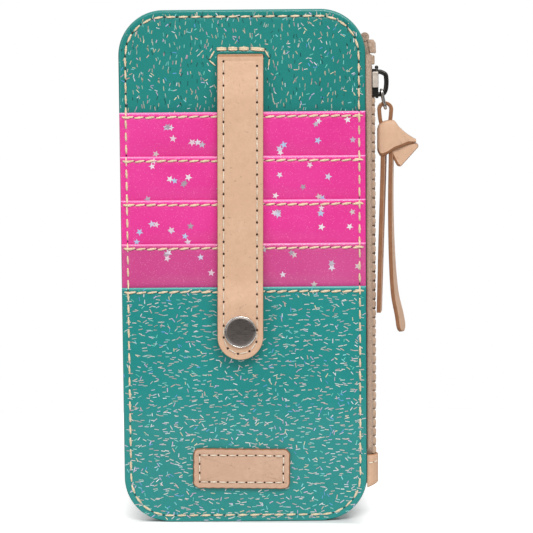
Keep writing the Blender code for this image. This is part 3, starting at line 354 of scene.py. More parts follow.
TEAL = vinyl("teal glitter vinyl", (0.010, 0.240, 0.212), (0.007, 0.208, 0.184),
             (0.04, 0.33, 0.30), 0.30)
TEAL_POCKET = vinyl("teal pocket vinyl", (0.011, 0.268, 0.249), (0.008, 0.236, 0.218),
                    (0.04, 0.36, 0.33), 0.30)
PINK = vinyl("pink star vinyl", (0.840, 0.048, 0.338), (0.770, 0.028, 0.270),
             (0.95, 0.26, 0.55), 0.50)
# The lowest card pocket's pink is darker and duller: painted shade.
PINK_PAINTED_SHADE = vinyl("pink star vinyl darkened by painted shade", (0.660, 0.078, 0.290),
                    (0.600, 0.052, 0.240), (0.80, 0.30, 0.50), 0.50)
# The fold looks are paler copies of the vinyl: a painted highlight on each pocket's folded top.
PINK_FOLD_HIGHLIGHT = vinyl("pink vinyl with a painted highlight over a fold", (0.930, 0.270, 0.560),
                  (0.900, 0.190, 0.480), (0.95, 0.60, 0.78), 0.50)
TEAL_FOLD_HIGHLIGHT = vinyl("teal vinyl with a painted highlight over a fold", (0.080, 0.440, 0.400),
                  (0.060, 0.390, 0.350), (0.20, 0.55, 0.50), 0.30)

# %% [markdown]
# ### Flakes and stars
#
# The glitter strips and the stars are pieces of foil in the clear layer. Each carries
# its own tint, and shines more sharply than the sheet.

# %% Foil look
FOIL = look("foil", (0.8, 0.8, 0.8), 0.32, 0.15, Coat_Weight=0.6, Coat_Roughness=0.12)
foil_tint = node(FOIL, "Attribute", attribute_name="tint").outputs["Color"]
grit = band(FOIL, noise(FOIL, place(FOIL), 2300.0, 1.0), 0.35, 0.65, 0.84, 1.0)
grey = node(FOIL, "CombineColor", {0: grit, 1: grit, 2: grit}).outputs[0]
feed(FOIL, "Base Color", blend(FOIL, 1.0, foil_tint, grey, "MULTIPLY"))

# %% [markdown]
# ### Leather
#
# Vegetable-tanned leather is pale and even, with fine pores, faint clouds and a few
# darker specks. Its cut edges are brown where they are burnished and pale elsewhere.

# %% Leather looks
def leather(name, colour, cloud, grain=1500.0, depth=1.0):
    """Colour that turns to another in clouds and mottles, with dark specks, and pores of
    so many to the metre and a relative depth."""
    made = look(name, colour, 0.52, Specular_IOR_Level=0.35)
    where = place(made)
    clouds = band(made, noise(made, where, 60.0, 4.0, 0.6), 0.3, 0.75)
    tone = blend(made, clouds, colour, cloud)
    mottle = band(made, noise(made, where, 450.0, 4.0, 0.7), 0.3, 0.8)
    tone = blend(made, mottle, tone, shade(cloud, 0.90))
    pores = node(made, "TexVoronoi", {"Vector": where, "Scale": grain}, feature="F1")
    spots = band(made, noise(made, where, 800.0, 1.0), 0.69, 0.78)
    tone = blend(made, spots, tone, shade(cloud, 0.74))
    feed(made, "Base Color", tone)
    feed(made, "Roughness", band(made, mottle, 0.0, 1.0, 0.46, 0.62))
    feed(made, "Normal", bump(made, pores.outputs["Distance"], 0.00006 * depth, 0.5,
                              bump(made, noise(made, where, 260.0, 3.0), 0.00016, 0.5)))
    return made


TAN = leather("natural leather", (0.722, 0.468, 0.318), (0.676, 0.420, 0.272))
PATCH_TAN = leather("patch leather", (0.672, 0.440, 0.315), (0.613, 0.380, 0.258), 1100.0, 2.0)
PALE_EDGE = leather("pale cut edge", (0.560, 0.290, 0.155), (0.450, 0.215, 0.105))
TAN_EDGE = leather("burnished cut edge", (0.370, 0.175, 0.085), (0.250, 0.104, 0.044))

# %% [markdown]
# ### Thread and its holes
#
# Cream thread, with the light and dark of its twisted plies, and a dark look of painted shade for
# each needle hole.

# %% Thread looks
def thread(name, colour, dark):
    """Light and dark plies by a fine noise, times each stitch's own tint."""
    made = look(name, colour, 0.60, Sheen_Weight=0.3, Sheen_Roughness=0.4)
    own = node(made, "Attribute", attribute_name="tint").outputs["Color"]
    ply = band(made, noise(made, place(made), 1900.0, 2.0), 0.3, 0.6)
    feed(made, "Base Color", blend(made, 1.0, blend(made, ply, dark, colour), own, "MULTIPLY"))
    feed(made, "Normal", bump(made, ply, 0.0001, 0.6))
    return made


CREAM = thread("cream thread", (0.930, 0.760, 0.540), (0.720, 0.500, 0.290))
WHITE_THREAD = thread("fine pale thread", (0.930, 0.840, 0.700), (0.700, 0.550, 0.400))
# The dark look of painted shade, put in needle holes and on the cord behind the zip's teeth.
HOLE_SHADE = look("needle hole", (0.055, 0.030, 0.018), 0.9)
speckle(HOLE_SHADE, (0.022, 0.012, 0.008), (0.075, 0.038, 0.020), 900.0)

# %% [markdown]
# ### Zip tape and moulded teeth
#
# The tape is a close twill in taupe, so its pattern follows the tape. The teeth are
# moulded in a beige plastic with a soft shine. The lining cloth and the board that show
# inside are plain.

# %% Zip looks
def woven(name, colour, dark, rate):
    """Twill: diagonal ribs that are crossed by weft, both from the pattern coordinates
    in mm, with rate in threads per mm."""
    made = look(name, colour, 0.85, Sheen_Weight=0.25, Sheen_Roughness=0.5)
    spot = node(made, "SeparateXYZ", {0: place(made, True)})
    across = sums(made, "MULTIPLY", spot.outputs[0], rate * math.tau)
    along = sums(made, "MULTIPLY", spot.outputs[1], rate * math.tau)
    rib = sums(made, "SINE", sums(made, "ADD", across, along))
    weft = sums(made, "COSINE", along)
    high = band(made, sums(made, "MULTIPLY", rib, weft), -1.0, 1.0)
    fuzz = band(made, noise(made, place(made), 1500.0, 3.0, 0.7), 0.32, 0.68)
    tone = blend(made, high, dark, colour)
    feed(made, "Base Color", blend(made, fuzz, shade(dark, 0.72), tone))
    feed(made, "Normal", bump(made, high, 0.00012, 0.7))
    return made


TAPE_LOOK = woven("taupe zip tape", (0.705, 0.507, 0.380), (0.480, 0.332, 0.240), 1.6)
TOOTH_LOOK = look("moulded beige teeth", (0.540, 0.380, 0.270), 0.42)
cloudy = band(TOOTH_LOOK, noise(TOOTH_LOOK, place(TOOTH_LOOK), 500.0, 3.0), 0.3, 0.7)
feed(TOOTH_LOOK, "Base Color", blend(TOOTH_LOOK, cloudy, (0.485, 0.330, 0.228),
                                     (0.600, 0.432, 0.312)))
CLOTH = look("lining cloth", (0.40, 0.34, 0.28), 0.9, Sheen_Weight=0.2)
speckle(CLOTH, (0.36, 0.30, 0.24), (0.52, 0.45, 0.38), 1400.0, 3.0, 0.7)
BOARD_LOOK = look("grey board", (0.36, 0.34, 0.31), 0.9)
speckle(BOARD_LOOK, (0.30, 0.28, 0.25), (0.42, 0.40, 0.37), 900.0, 3.0)

# %% [markdown]
# ### Metal
#
# The slider is a glossy black with a flank whose pale colour is a painted reflection, the snap cap
# dark and brushed in one direction inside a polished rim, and the link and the hidden snap pieces
# are bright.

# %% Metal looks
def plated(name, colour, roughness, scratch, stretch=(1.0, 1.0, 1.0), metallic=1.0):
    """Metal that is darker and smoother where a noise is low; stretch draws the noise
    out into brush marks."""
    made = look(name, colour, roughness, metallic)
    where = node(made, "Mapping", {"Vector": place(made), "Scale": stretch}).outputs[0]
    wear = band(made, noise(made, where, scratch, 4.0, 0.7), 0.25, 0.75)
    feed(made, "Base Color", blend(made, wear, shade(colour, 0.62), colour))
    feed(made, "Roughness", band(made, wear, 0.0, 1.0, 0.7 * roughness, 1.3 * roughness))
    feed(made, "Normal", bump(made, wear, 0.00002, 0.4))
    return made


GLOSS_BLACK = plated("glossy black metal", (0.050, 0.046, 0.042), 0.14, 300.0, metallic=0.6)
CAP_FACE = plated("brushed cap face", (0.350, 0.305, 0.280), 0.30, 900.0, (0.4, 1.0, 7.0))
CAP_RIM = plated("polished cap rim", (0.880, 0.860, 0.830), 0.18, 300.0)
BRIGHT = plated("bright nickel", (0.720, 0.690, 0.650), 0.14, 300.0)
# The flank's pale colour is a painted reflection; its slight metal and gloss are real shine.
FLANK_PAINTED_REFLECTION = plated("slider flank with a painted reflection", (0.800, 0.700, 0.610), 0.30, 500.0, metallic=0.3)
print("looks:", len(bpy.data.materials))

# %% [markdown]
# ## A plate with a finished edge
#
# Leaves, strap, patch and lace ends are flat plates with a shaped edge. A plate is an
# outline carried inwards: each point of the outline moves along its own inward
# direction by an inset, while a profile says how high the surface is at that inset.
# Past the profile the surface runs straight on to a spine, where both sides meet.

# %% Outlines
def rounded_outline(width, height, corner, step):
    """Once round a rounded rectangle, anticlockwise: points and outward directions.
    Each side is a straight run and each corner a quarter circle."""
    half = np.array([width, height]) / 2
    inner = half - corner
    points, outward = [], []
    for k in range(4):
        a = k * math.pi / 2
        out = np.round([math.cos(a), math.sin(a)])
        run = np.array([-out[1], out[0]])
        length = 2 * np.abs(run) @ inner
        n = max(1, round(length / step))
        t = (np.arange(n) / n - 0.5) * length
        points.append(out * (np.abs(out) @ half) + t[:, None] * run)
        outward.append(np.repeat(out[None], n, axis=0))
        m = max(3, round(corner * math.pi / 2 / step))
        turn = a + np.arange(m) / m * math.pi / 2
        spoke = spokes(turn)
        centre = out * (np.abs(out) @ inner) + run * (np.abs(run) @ inner)
        points.append(centre + corner * spoke)
        outward.append(spoke)
    return np.concatenate(points), np.concatenate(outward)


def polygon_outline(corners, radius, step):
    """Once round a convex polygon given anticlockwise. Each corner is an arc of the
    radius, so its sides are cut back by the radius times the tangent of half its turn."""
    corners = np.asarray(corners, float)
    way = np.roll(corners, -1, 0) - corners
    room = np.linalg.norm(way, axis=1)
    way = way / room[:, None]
    before = np.roll(way, 1, 0)
    turn = np.arctan2(before[:, 0] * way[:, 1] - before[:, 1] * way[:, 0], (before * way).sum(1))
    cut = radius * np.tan(turn / 2)
    points, outward = [], []
    for k, here in enumerate(corners):
        first = np.array([before[k, 1], -before[k, 0]])
        last = np.array([way[k, 1], -way[k, 0]])
        a = math.atan2(first[1], first[0]) + np.linspace(
            0, turn[k], max(3, round(radius * turn[k] / step) + 1))
        spoke = spokes(a)
        points.append(here - before[k] * cut[k] - first * radius + radius * spoke)
        outward.append(spoke)
        straight = room[k] - cut[k] - cut[(k + 1) % len(corners)]
        n = max(1, round(straight / step))
        t = np.arange(1, n)[:, None] / n
        points.append(here + way[k] * (cut[k] + t * straight))
        outward.append(np.repeat(last[None], n - 1, axis=0))
    return np.concatenate(points), np.concatenate(outward)


# %% [markdown]
# With an outline and a profile the plate itself is one array of rings.

# %% Plate
def plate(outline, profile, rings, spine, centre=0.0, box=None):
    """Flat places (rows, n, 2) and heights (rows, n) of a plate, and each face's look.
    profile lists (inset, height, look) from inside the back, round the edge, to inside
    the front. spine is the lowest and highest place where the sides meet. box, its low
    and high x and y, keeps an inset deeper than a corner's radius from crossing over."""
    points, outward = outline
    inset = np.array([p[0] for p in profile])[:, None, None]
    height = np.array([p[1] for p in profile])
    flat = points[None] - inset * outward[None]
    if box is not None:
        flat[..., 0] = np.clip(flat[..., 0], box[0] + inset[..., 0], box[1] - inset[..., 0])
        flat[..., 1] = np.clip(flat[..., 1], box[2] + inset[..., 0], box[3] - inset[..., 0])

    def to_spine(ring):
        """Rings that shrink evenly from one ring on to the spine."""
        along = np.clip(ring[:, 1], *spine)
        middle = coords(centre, along)
        t = (np.arange(1, rings + 1) / rings)[:, None, None]
        return ring[None] * (1 - t) + middle[None] * t

    places = np.concatenate([to_spine(flat[0])[::-1], flat, to_spine(flat[-1])])
    heights = np.concatenate([np.full(rings, height[0]), height, np.full(rings, height[-1])])
    kinds = [profile[0][2]] * rings + [p[2] for p in profile[1:]] + [profile[-1][2]] * rings
    return (places, np.repeat(heights[:, None], len(points), axis=1),
            np.repeat(np.array(kinds), len(points)))


def arc_profile(centre, radius, start, stop, count, kind):
    """Part of a circle in the plane of inset and height, from one angle to another."""
    turn = np.radians(np.linspace(start, stop, count))
    return [(centre[0] + radius * math.cos(a), centre[1] + radius * math.sin(a), kind)
            for a in turn]


# %% [markdown]
# ## The two leaves
#
# Each leaf is vinyl turned in over a board: a flat face, a round fold along the whole
# edge, and a flange behind. The seam runs 2.7 mm in from the edge and pulls the face
# down into a groove, deepest at the needle holes. The back leaf rises towards the zip,
# so that the pocket between the leaves has room.

# %% Shape of a leaf
SEAM_INSET, SEAM_PITCH = 2.7, 4.77
FOLD, FLANGE_ROWS, FOLD_ROWS = LEAF / 2, 6, 13
PERIMETER = rounded_outline(BODY_WIDTH, BODY_HEIGHT, CORNER, 0.62)
seam_line = PERIMETER[0] - SEAM_INSET * PERIMETER[1]
seam_steps = np.linalg.norm(np.roll(seam_line, -1, axis=0) - seam_line, axis=1)
SEAM_LENGTH = seam_steps.sum()
SEAM_COUNT = round(SEAM_LENGTH / SEAM_PITCH)
SEAM_RUN = np.concatenate([[0.0], np.cumsum(seam_steps)[:-1]]) / SEAM_LENGTH * SEAM_COUNT
print("seam", round(SEAM_LENGTH, 1), "mm,", SEAM_COUNT, "stitches")


def groove(inset, run):
    """Depth of the sewn groove: a bell across the seam, deeper at each needle hole."""
    pull = 0.12 + 0.10 * np.cos(math.pi * run) ** 4
    return pull * np.exp(-((inset - SEAM_INSET) / 0.75) ** 2)


def leaf_profile():
    """Depth below the face, from inside the vinyl round the flange and the fold to the
    face, with close rows where the seam is."""
    rows = [(TURN_IN, -SHEET, 0), (FOLD, -SHEET, 0), (FOLD - 0.2, -LEAF / 2, 0),
            (FOLD, SHEET - LEAF, 0), (TURN_IN, SHEET - LEAF, 0), (TURN_IN, -LEAF, 0)]
    rows += arc_profile((FOLD, -FOLD), FOLD, 270, 90, FOLD_ROWS, 0)
    return rows + [(d, 0.0, 0) for d in np.arange(1.35, 4.3, 0.27)] + [(6.0, 0.0, 0)]


def leaf(name, face_y, side, replaced, rise=None, rings=4):
    """One leaf as a plate that faces the front (side -1) or the back (1), less its
    groove. rise moves each place backwards."""
    rows = leaf_profile()
    half = (BODY_HEIGHT - BODY_WIDTH) / 2
    places, heights, _ = plate(PERIMETER, rows, rings, (-half, half))
    inset = np.array([rows[0][0]] * rings + [p[0] for p in rows] + [9.0] * rings)[:, None]
    face = np.arange(len(heights))[:, None] >= rings + FLANGE_ROWS + FOLD_ROWS - 1
    heights = heights - np.where(face, groove(inset, SEAM_RUN[None]), 0.0)
    x, z = places[..., 0], places[..., 1] + BODY_HEIGHT / 2
    y = face_y + side * heights + (rise(x, z) if rise else 0.0)
    return put_rings(name, x, y, z, "root", "teal_vinyl", [TEAL], weld=0.005,
                     replaces=[replaced])


# %% [markdown]
# The strap goes in through a slit near the top of the front leaf, so the leaf is cut
# there.

# %% Front and back leaf
ZIP_GAP, SEAM_GAP = 5.3, 0.9
POCKET_RISE = ZIP_GAP - SEAM_GAP
BACK_FACE = -ZIP_GAP / 2 + SEAM_GAP + LEAF
STRAP_X, STRAP_WIDTH, STRAP_TOP, STRAP_LENGTH = -1.1, 17.6, 182.6, 117.5
STRAP_LEAN = math.radians(0.5)
SLIT_X = STRAP_X + STRAP_LENGTH / 2 * math.tan(STRAP_LEAN)


def pocket_rise(x, z):
    """The back leaf's rise: nothing along the sewn edges, full from the middle across
    to the zip, by an S-curve each way."""
    across = smooth((x + EDGE_X - 1.0) / 45.0)
    up = smooth((np.minimum(z, BODY_HEIGHT - z) - 1.0) / 16.0)
    return POCKET_RISE * across * up


def cut_box(piece, low_mm, high_mm):
    """Cut a box-shaped hole out of a piece."""
    bm = bmesh.new()
    bmesh.ops.create_cube(bm, size=1.0)
    corners = np.array([v.co for v in bm.verts]) + 0.5
    spots = (np.array(low_mm) + corners * (np.array(high_mm) - low_mm)) * MM + SHIFT
    for vertex, spot in zip(bm.verts, spots):
        vertex.co = spot
    mesh = bpy.data.meshes.new("slit")
    bm.to_mesh(mesh)
    bm.free()
    tool = show("slit", mesh)
    change = piece.modifiers.new("slit", "BOOLEAN")
    change.object, change.operation, change.solver = tool, "DIFFERENCE", "EXACT"
    graph = bpy.context.evaluated_depsgraph_get()
    made = bpy.data.meshes.new_from_object(piece.evaluated_get(graph))
    piece.modifiers.remove(change)
    piece.data = made
    made.set_sharp_from_angle(angle=math.radians(40))
    bpy.data.objects.remove(tool, do_unlink=True)


front_leaf = leaf("front_leaf", FACE_Y, -1, "front_panel")
cut_box(front_leaf, (SLIT_X - 9.3, FACE_Y - 1.0, STRAP_TOP - 0.8),
        (SLIT_X + 9.3, FACE_Y + SHEET + 0.05, STRAP_TOP + 0.9))
back_leaf = leaf("back_leaf", BACK_FACE, 1, "back_panel", pocket_rise, 26)
print("leaf points", len(front_leaf.data.vertices), len(back_leaf.data.vertices))

# %% [markdown]
# ## The pockets
#
# Four pink sheets stand one behind the other, each 16.95 mm lower than the one behind
# it, and the deeper teal pocket is in front of them. A sheet's top edge is folded, so it
# is rounded and a little thicker, and a line of stitches lies 1.8 mm below it. Each
# sheet leans outwards from its foot, so that it stays in front of the one behind it at
# every height, and the side seams press it down.

# %% Numbers of each pocket and the height of its face
SLOT_TOP, SLOTS, CARD_SHEET, CARD_DEPTH, HEM, HEM_HEIGHT = 160.8, 4, 0.45, 48.0, 0.25, 4.0
LOWER_SHEET, LOWER_FOOT, AIR = 0.6, 0.3, 0.15
SNAP_Z = STRAP_TOP - STRAP_LENGTH + 11.2
LOWER_TOP = SNAP_Z + 16.7
SLOT_PITCH = (SLOT_TOP - LOWER_TOP) / SLOTS
EDGE_SEAM, EDGE_PITCH = 1.8, 4.2
card_lean = math.atan2(CARD_SHEET + AIR, SLOT_PITCH)
lower_lean = math.atan2(2.1, LOWER_TOP - LOWER_FOOT)
POCKETS = [dict(name=f"card_pocket_{k + 1}", top=SLOT_TOP - k * SLOT_PITCH, lean=card_lean,
                depth=CARD_DEPTH, sheet=CARD_SHEET, swell=0.10, crown=0.72)
           for k in range(SLOTS)]
POCKETS.append(dict(name="lower_pocket", top=LOWER_TOP, lean=lower_lean, sheet=LOWER_SHEET,
                    depth=(LOWER_TOP - LOWER_FOOT) / math.cos(lower_lean), swell=0.08,
                    crown=0.0))


def pocket_face(p, x, z):
    """Depth of a pocket's outer face. It leans out from its foot, is thicker over its hem,
    swells a little between its seams and is pressed down at them. Its top edge rolls
    away as a parabola over 1.5 mm. A card pocket is also crowned between its own edge
    and the next one, as half a sine wave, and turns in again above the next edge."""
    drop = (p["top"] - z) / math.cos(p["lean"])
    thick = p["sheet"] + HEM * (1 - smooth((drop - 2.4) / 4.5))
    thick = thick - 0.42 * np.clip(1 - drop / 1.5, 0, 1) ** 2
    seam = EDGE_X - SEAM_INSET
    across = np.clip(1 - (x / seam) ** 2, 0, 1)
    crown = p["crown"] * (np.sin(math.pi * np.clip(drop / (SLOT_PITCH - 0.4), 0, 1))
                          - 0.45 * smooth((drop - 11.5) / 5.5))
    swell = p["swell"] * across ** 0.6 + crown * across ** 0.3
    press = 0.14 * np.exp(-((np.abs(x) - seam) / 0.8) ** 2)
    return FACE_Y - AIR - (p["depth"] - drop) * math.sin(p["lean"]) - thick - swell + press


def half_width(z):
    """Half width of a pocket: 0.3 mm inside the leaf's edge, also round its corners."""
    radius = CORNER - 0.3
    below = np.clip(CORNER - z, 0, radius)
    return EDGE_X - CORNER + np.sqrt(np.clip(radius ** 2 - below ** 2, 0, None))


def lower_face(z):
    """Depth of the lower pocket's plain outer face at a height."""
    return (FACE_Y - AIR - LOWER_SHEET / math.cos(lower_lean)
            - math.tan(lower_lean) * (z - LOWER_FOOT))


# %% [markdown]
# Each pocket is one grid: its rows go over the fold at the top, through the stitched
# groove and down to the foot, and its columns run across, closer at the sides.

# %% Pocket sheets
def pocket_sheet(p, finish, highlight_finish, slot):
    """A pocket's front as a grid, closed behind by its flat inner face. Its fold at the top gets a
    paler look, a painted highlight."""
    top, lean, depth = p["top"], p["lean"], p["depth"]
    thick = p["sheet"] + HEM
    turn = np.radians(np.linspace(0, 180, 12))
    fold_drop = 0.5 * thick * (1 - np.sin(turn))
    fold_out = 0.5 * thick * (1 - np.cos(turn))
    hem = np.arange(0.48, HEM_HEIGHT + 0.9, 0.13)
    below = np.linspace(HEM_HEIGHT + 1.2, depth - 0.02, 60)
    drop = np.concatenate([[depth], fold_drop, hem, below])
    edge = 0.1 * np.linspace(0, 1, 14) ** 1.8
    u = np.concatenate([edge - 1, np.linspace(-0.885, 0.885, 120), 1 - edge[::-1]])
    z = (top - drop * math.cos(lean))[:, None]
    x = u * half_width(z)
    inner = FACE_Y - AIR - (depth - drop) * math.sin(lean)
    face = pocket_face(p, x, z)
    sewn = (0.10 + 0.07 * np.cos(math.pi * x / EDGE_PITCH) ** 2) * np.exp(
        -((drop[:, None] - EDGE_SEAM) / 0.5) ** 2)
    short = np.clip(thick - (half_width(z) - np.abs(x)), 0, thick)
    side = 0.5 * (thick - np.sqrt(thick ** 2 - short ** 2))
    y = face + sewn + side
    fraction = (fold_out / thick)[:, None]
    y[1:13] = inner[1:13, None] * (1 - fraction) + face[1:13] * fraction
    y[0] = inner[0]
    rows, columns = y.shape
    number = np.arange(rows * columns).reshape(rows, columns)
    behind = coords(number[0, :-1], number[0, 1:], number[-1, 1:], number[-1, :-1])
    row = np.repeat(np.arange(rows - 1), columns - 1)
    # Rows over the fold take the paler look: a painted highlight.
    highlight_rows = ((row > 5) & (row < 13)).astype(int)
    put(p["name"] + "_sheet", coords(x, y, z),
        [grid_faces(rows, columns), behind, number[:, 0][None], number[::-1, -1][None]],
        "root", slot, [finish, highlight_finish], [highlight_rows, np.zeros(len(behind), int), [0], [0]],
        weld=0.001, replaces=[p["name"]], sharp=60)


for pocket in POCKETS[:-2]:
    pocket_sheet(pocket, PINK, PINK_FOLD_HIGHLIGHT, "pink_vinyl")
# The lowest card pocket takes the darker pink of painted shade.
pocket_sheet(POCKETS[-2], PINK_PAINTED_SHADE, PINK_FOLD_HIGHLIGHT, "pink_vinyl")
pocket_sheet(POCKETS[-1], TEAL_POCKET, TEAL_FOLD_HIGHLIGHT, "teal_vinyl")
print("pocket sheets:", len(POCKETS))

# %% [markdown]
# ## The outermost surface
#
# Thread, glitter and stars lie on whatever sheet is outermost, so two functions give its
# depth anywhere on the front and on the back. Near the edge they follow the fold.

# %% Depth of the front and of the back
def inset_of(x, z):
    """How far inside the body's rounded outline a point lies: the corner's radius less
    the distance from its centre, or else the distance from the nearest straight side."""
    q = np.stack([np.abs(x) - (EDGE_X - CORNER),
                  np.abs(z - BODY_HEIGHT / 2) - (BODY_HEIGHT / 2 - CORNER)])
    outer = np.hypot(np.clip(q[0], 0, None), np.clip(q[1], 0, None))
    return CORNER - outer - np.minimum(np.maximum(q[0], q[1]), 0.0)


def fold_drop_at(x, z):
    """How far the round fold lies below the flat face: a quarter circle."""
    short = np.clip(FOLD - inset_of(x, z), 0, FOLD)
    return FOLD - np.sqrt(FOLD ** 2 - short ** 2)


def front_skin(x, z):
    """The front leaf's face, or the face of the last pocket that reaches so high."""
    y = FACE_Y + fold_drop_at(x, z)
    for p in POCKETS:
        y = np.where(z < p["top"], pocket_face(p, x, z), y)
    return y


def back_skin(x, z):
    """The back leaf's face with its rise, less the fold."""
    return BACK_FACE + pocket_rise(x, z) - fold_drop_at(x, z)


# %% [markdown]
# ## Stitches
#
# One stitch is a short rope of two plies: an ellipse carried along a low arch and turned as it goes,
# closed to a point where it enters the leather or vinyl. All the stitches of a seam are made at once
# as one array. A dark spot of painted shade marks each needle hole.

# %% Ropes of thread and needle holes
random = np.random.default_rng(7)


def stitches(name, start, stop, skin, side, radius, body="root", slot="teal_vinyl",
             finish=CREAM, sink=0.10, twist=3.0):
    """start and stop are (m, 2) places; skin gives the depth there, side is -1 for the
    front and 1 for the back. Each stitch is 9 rings of 6 points. A ring's radius grows
    and shrinks by a fifth twice round, turned along the stitch, and falls to nothing at
    both ends by a fifth power. Its middle is on a low arch over the skin, less sink."""
    rings, around = 9, 6
    t = np.linspace(-1, 1, rings)
    wide = np.sqrt(np.clip(1 - np.abs(t) ** 5, 0, 1))
    count = len(start)
    thick = radius * random.uniform(0.9, 1.1, count)
    middle, half = (start + stop) / 2, (stop - start) / 2
    line = middle[:, None] + half[:, None] * t[None, :, None]
    across = unit(coords(-half[:, 1], half[:, 0]))
    depth = side * skin(line[..., 0], line[..., 1])
    ends = depth[:, [0, -1]]
    depth = np.maximum(depth, 0.5 * (np.roll(depth, 1, 1) + np.roll(depth, -1, 1)))
    depth[:, [0, -1]] = ends
    a = circle(around)
    ply = 1 + 0.20 * np.cos(2 * (a[None, None] - twist * t[None, :, None]))
    r = thick[:, None, None] * wide[None, :, None] * ply
    arch = thick[:, None] * (0.75 - 0.9 * t[None] ** 4) - sink
    points = coords(line[:, :, None, 0] + across[:, None, None, 0] * r * np.cos(a),
                    side * ((depth + arch)[:, :, None] + 0.85 * r * np.sin(a)),
                    line[:, :, None, 1] + across[:, None, None, 1] * r * np.cos(a))
    tint = np.repeat(random.uniform(0.88, 1.0, count), rings * around * 3)
    faces = repeated(grid_faces(rings, around, around=True), count, rings * around)
    put(name, points, [faces], body, slot, [finish], tint=tint, weld=0.002)


def holes(name, spots, skin, side, size, body="root", slot="teal_vinyl"):
    """A dark cone of eight sides over each needle hole, painted shade of the hole: its ring lies on
    the skin, one tip 0.03 mm above and the other 0.15 mm below."""
    ring = spots[:, None] + size * spokes(circle(8))[None]
    centre = spots[:, None]
    flat = np.concatenate([centre, ring, centre], axis=1)
    rise = np.array([0.03] + [0.0] * 8 + [-0.15])
    depth = skin(spots[:, 0], spots[:, 1])
    points = coords(flat[..., 0], depth[:, None] + side * rise[None], flat[..., 1])
    one = np.concatenate([fan(8), fan(8)[:, [0, 2, 1]] + [9, 0, 0]])
    put(name, points, [repeated(one, len(spots), 10)], body, slot, [HOLE_SHADE], weld=0.0005)


def along_line(points, run):
    """Places at the given distances along a chain of points."""
    total = distances(points)
    return coords(np.interp(run, total, points[:, 0]), np.interp(run, total, points[:, 1]))


# %% [markdown]
# ### The seam round both leaves
#
# The same seam shows on the front and on the back, 4.77 mm to a stitch. Here and on the
# strap a stitch starts and ends 0.42 mm from the middle of its needle holes.

# %% Seam round the edge
NEEDLE = 0.42
ring = np.concatenate([seam_line, seam_line[:1]]) + [0.0, BODY_HEIGHT / 2]
pitch = SEAM_LENGTH / SEAM_COUNT
at = np.arange(SEAM_COUNT) * pitch
for name, skin, side in (("edge_seam_front", front_skin, -1), ("edge_seam_back", back_skin, 1)):
    jog = random.uniform(-0.05, 0.05, SEAM_COUNT)
    start, stop = along_line(ring, at + NEEDLE), along_line(ring, at + pitch - NEEDLE)
    inward = coords(-(stop - start)[:, 1], (stop - start)[:, 0]) / pitch
    start, stop = start - inward * 0.10, stop + inward * (0.10 + jog[:, None])
    stitches(name, start, stop, skin, side, 0.40)
    holes(name + "_holes", along_line(ring, at), skin, side, 0.36)
    print(name, SEAM_COUNT, "stitches")

# %% [markdown]
# ### The stitches under each pocket's edge
#
# They slant upwards to the right, 4.2 mm to a stitch, and go over each other where the
# seam starts at the side.

# %% Pocket edge seams
for p in POCKETS:
    level = p["top"] - EDGE_SEAM * math.cos(p["lean"])
    reach = float(half_width(level)) - 1.2
    count = round(2 * reach / EDGE_PITCH)
    left = np.linspace(-reach, reach, count + 1)
    sway = 0.10 * np.sin(left / 7.0 + p["top"])
    start = coords(left[:-1] + 0.10, level - 0.27 + sway[:-1])
    stop = coords(left[1:] + 0.02, level + 0.27 + sway[1:])
    tack = np.array([[-reach - 0.5, level + 0.25], [-reach + 0.6, level - 0.35],
                     [reach - 3.2, level + 0.35]])
    tack_stop = np.array([[-reach + 3.0, level - 0.25], [-reach + 4.4, level + 0.35],
                          [reach + 0.5, level - 0.05]])

    def face(x, z, p=p):
        """This pocket's own face."""
        return pocket_face(p, x, z)

    stitches(p["name"] + "_seam", np.concatenate([start, tack]),
             np.concatenate([stop, tack_stop]), face, -1, 0.42)
    holes(p["name"] + "_seam_holes", coords(left, level + sway), face, -1, 0.22)
print("pocket seams", len(POCKETS))

# %% [markdown]
# ## Glitter strips
#
# Short strips of foil lie in the teal vinyl. On the upper part most of them stand
# nearly upright and are muted, and on the pocket most lie flat. Here and there a
# cluster of bright ones points every way. Their places come from a grid that is
# disturbed at random, so they are even without being regular.

# %% Places at random and linear colours
def srgb(colours):
    """Linear values of colours given from 0 to 255."""
    c = np.array(colours, float) / 255.0
    return np.where(c <= 0.04045, c / 12.92, ((c + 0.055) / 1.055) ** 2.4)


def scatter(low_x, high_x, low_z, high_z, density):
    """Places on a disturbed grid with so many to the square millimetre."""
    cell = 1.0 / math.sqrt(density)
    gx, gz = np.meshgrid(np.arange(low_x, high_x, cell), np.arange(low_z, high_z, cell))
    spots = coords(gx.ravel(), gz.ravel())
    spots = spots + random.uniform(-0.75, 0.75, spots.shape) * cell
    return spots[random.uniform(size=len(spots)) > 0.10]


# %% [markdown]
# Most strips are muted above and calm below. The bright ones have many colours.

# %% Foil strips
MUTED = srgb([(190, 210, 190), (214, 206, 176), (170, 198, 190), (200, 168, 178),
              (130, 216, 206), (24, 106, 100), (18, 90, 90), (230, 222, 206), (208, 194, 172)])
CALM = srgb([(226, 226, 222), (234, 222, 220), (212, 226, 226), (222, 214, 234),
             (242, 236, 230), (160, 224, 218), (206, 184, 184), (218, 206, 198)])
BRIGHT_FOIL = srgb([(250, 250, 250), (245, 246, 252), (240, 240, 250), (150, 232, 240),
                    (228, 196, 226), (248, 236, 196), (208, 200, 244), (120, 226, 205),
                    (236, 200, 190), (110, 176, 240)])


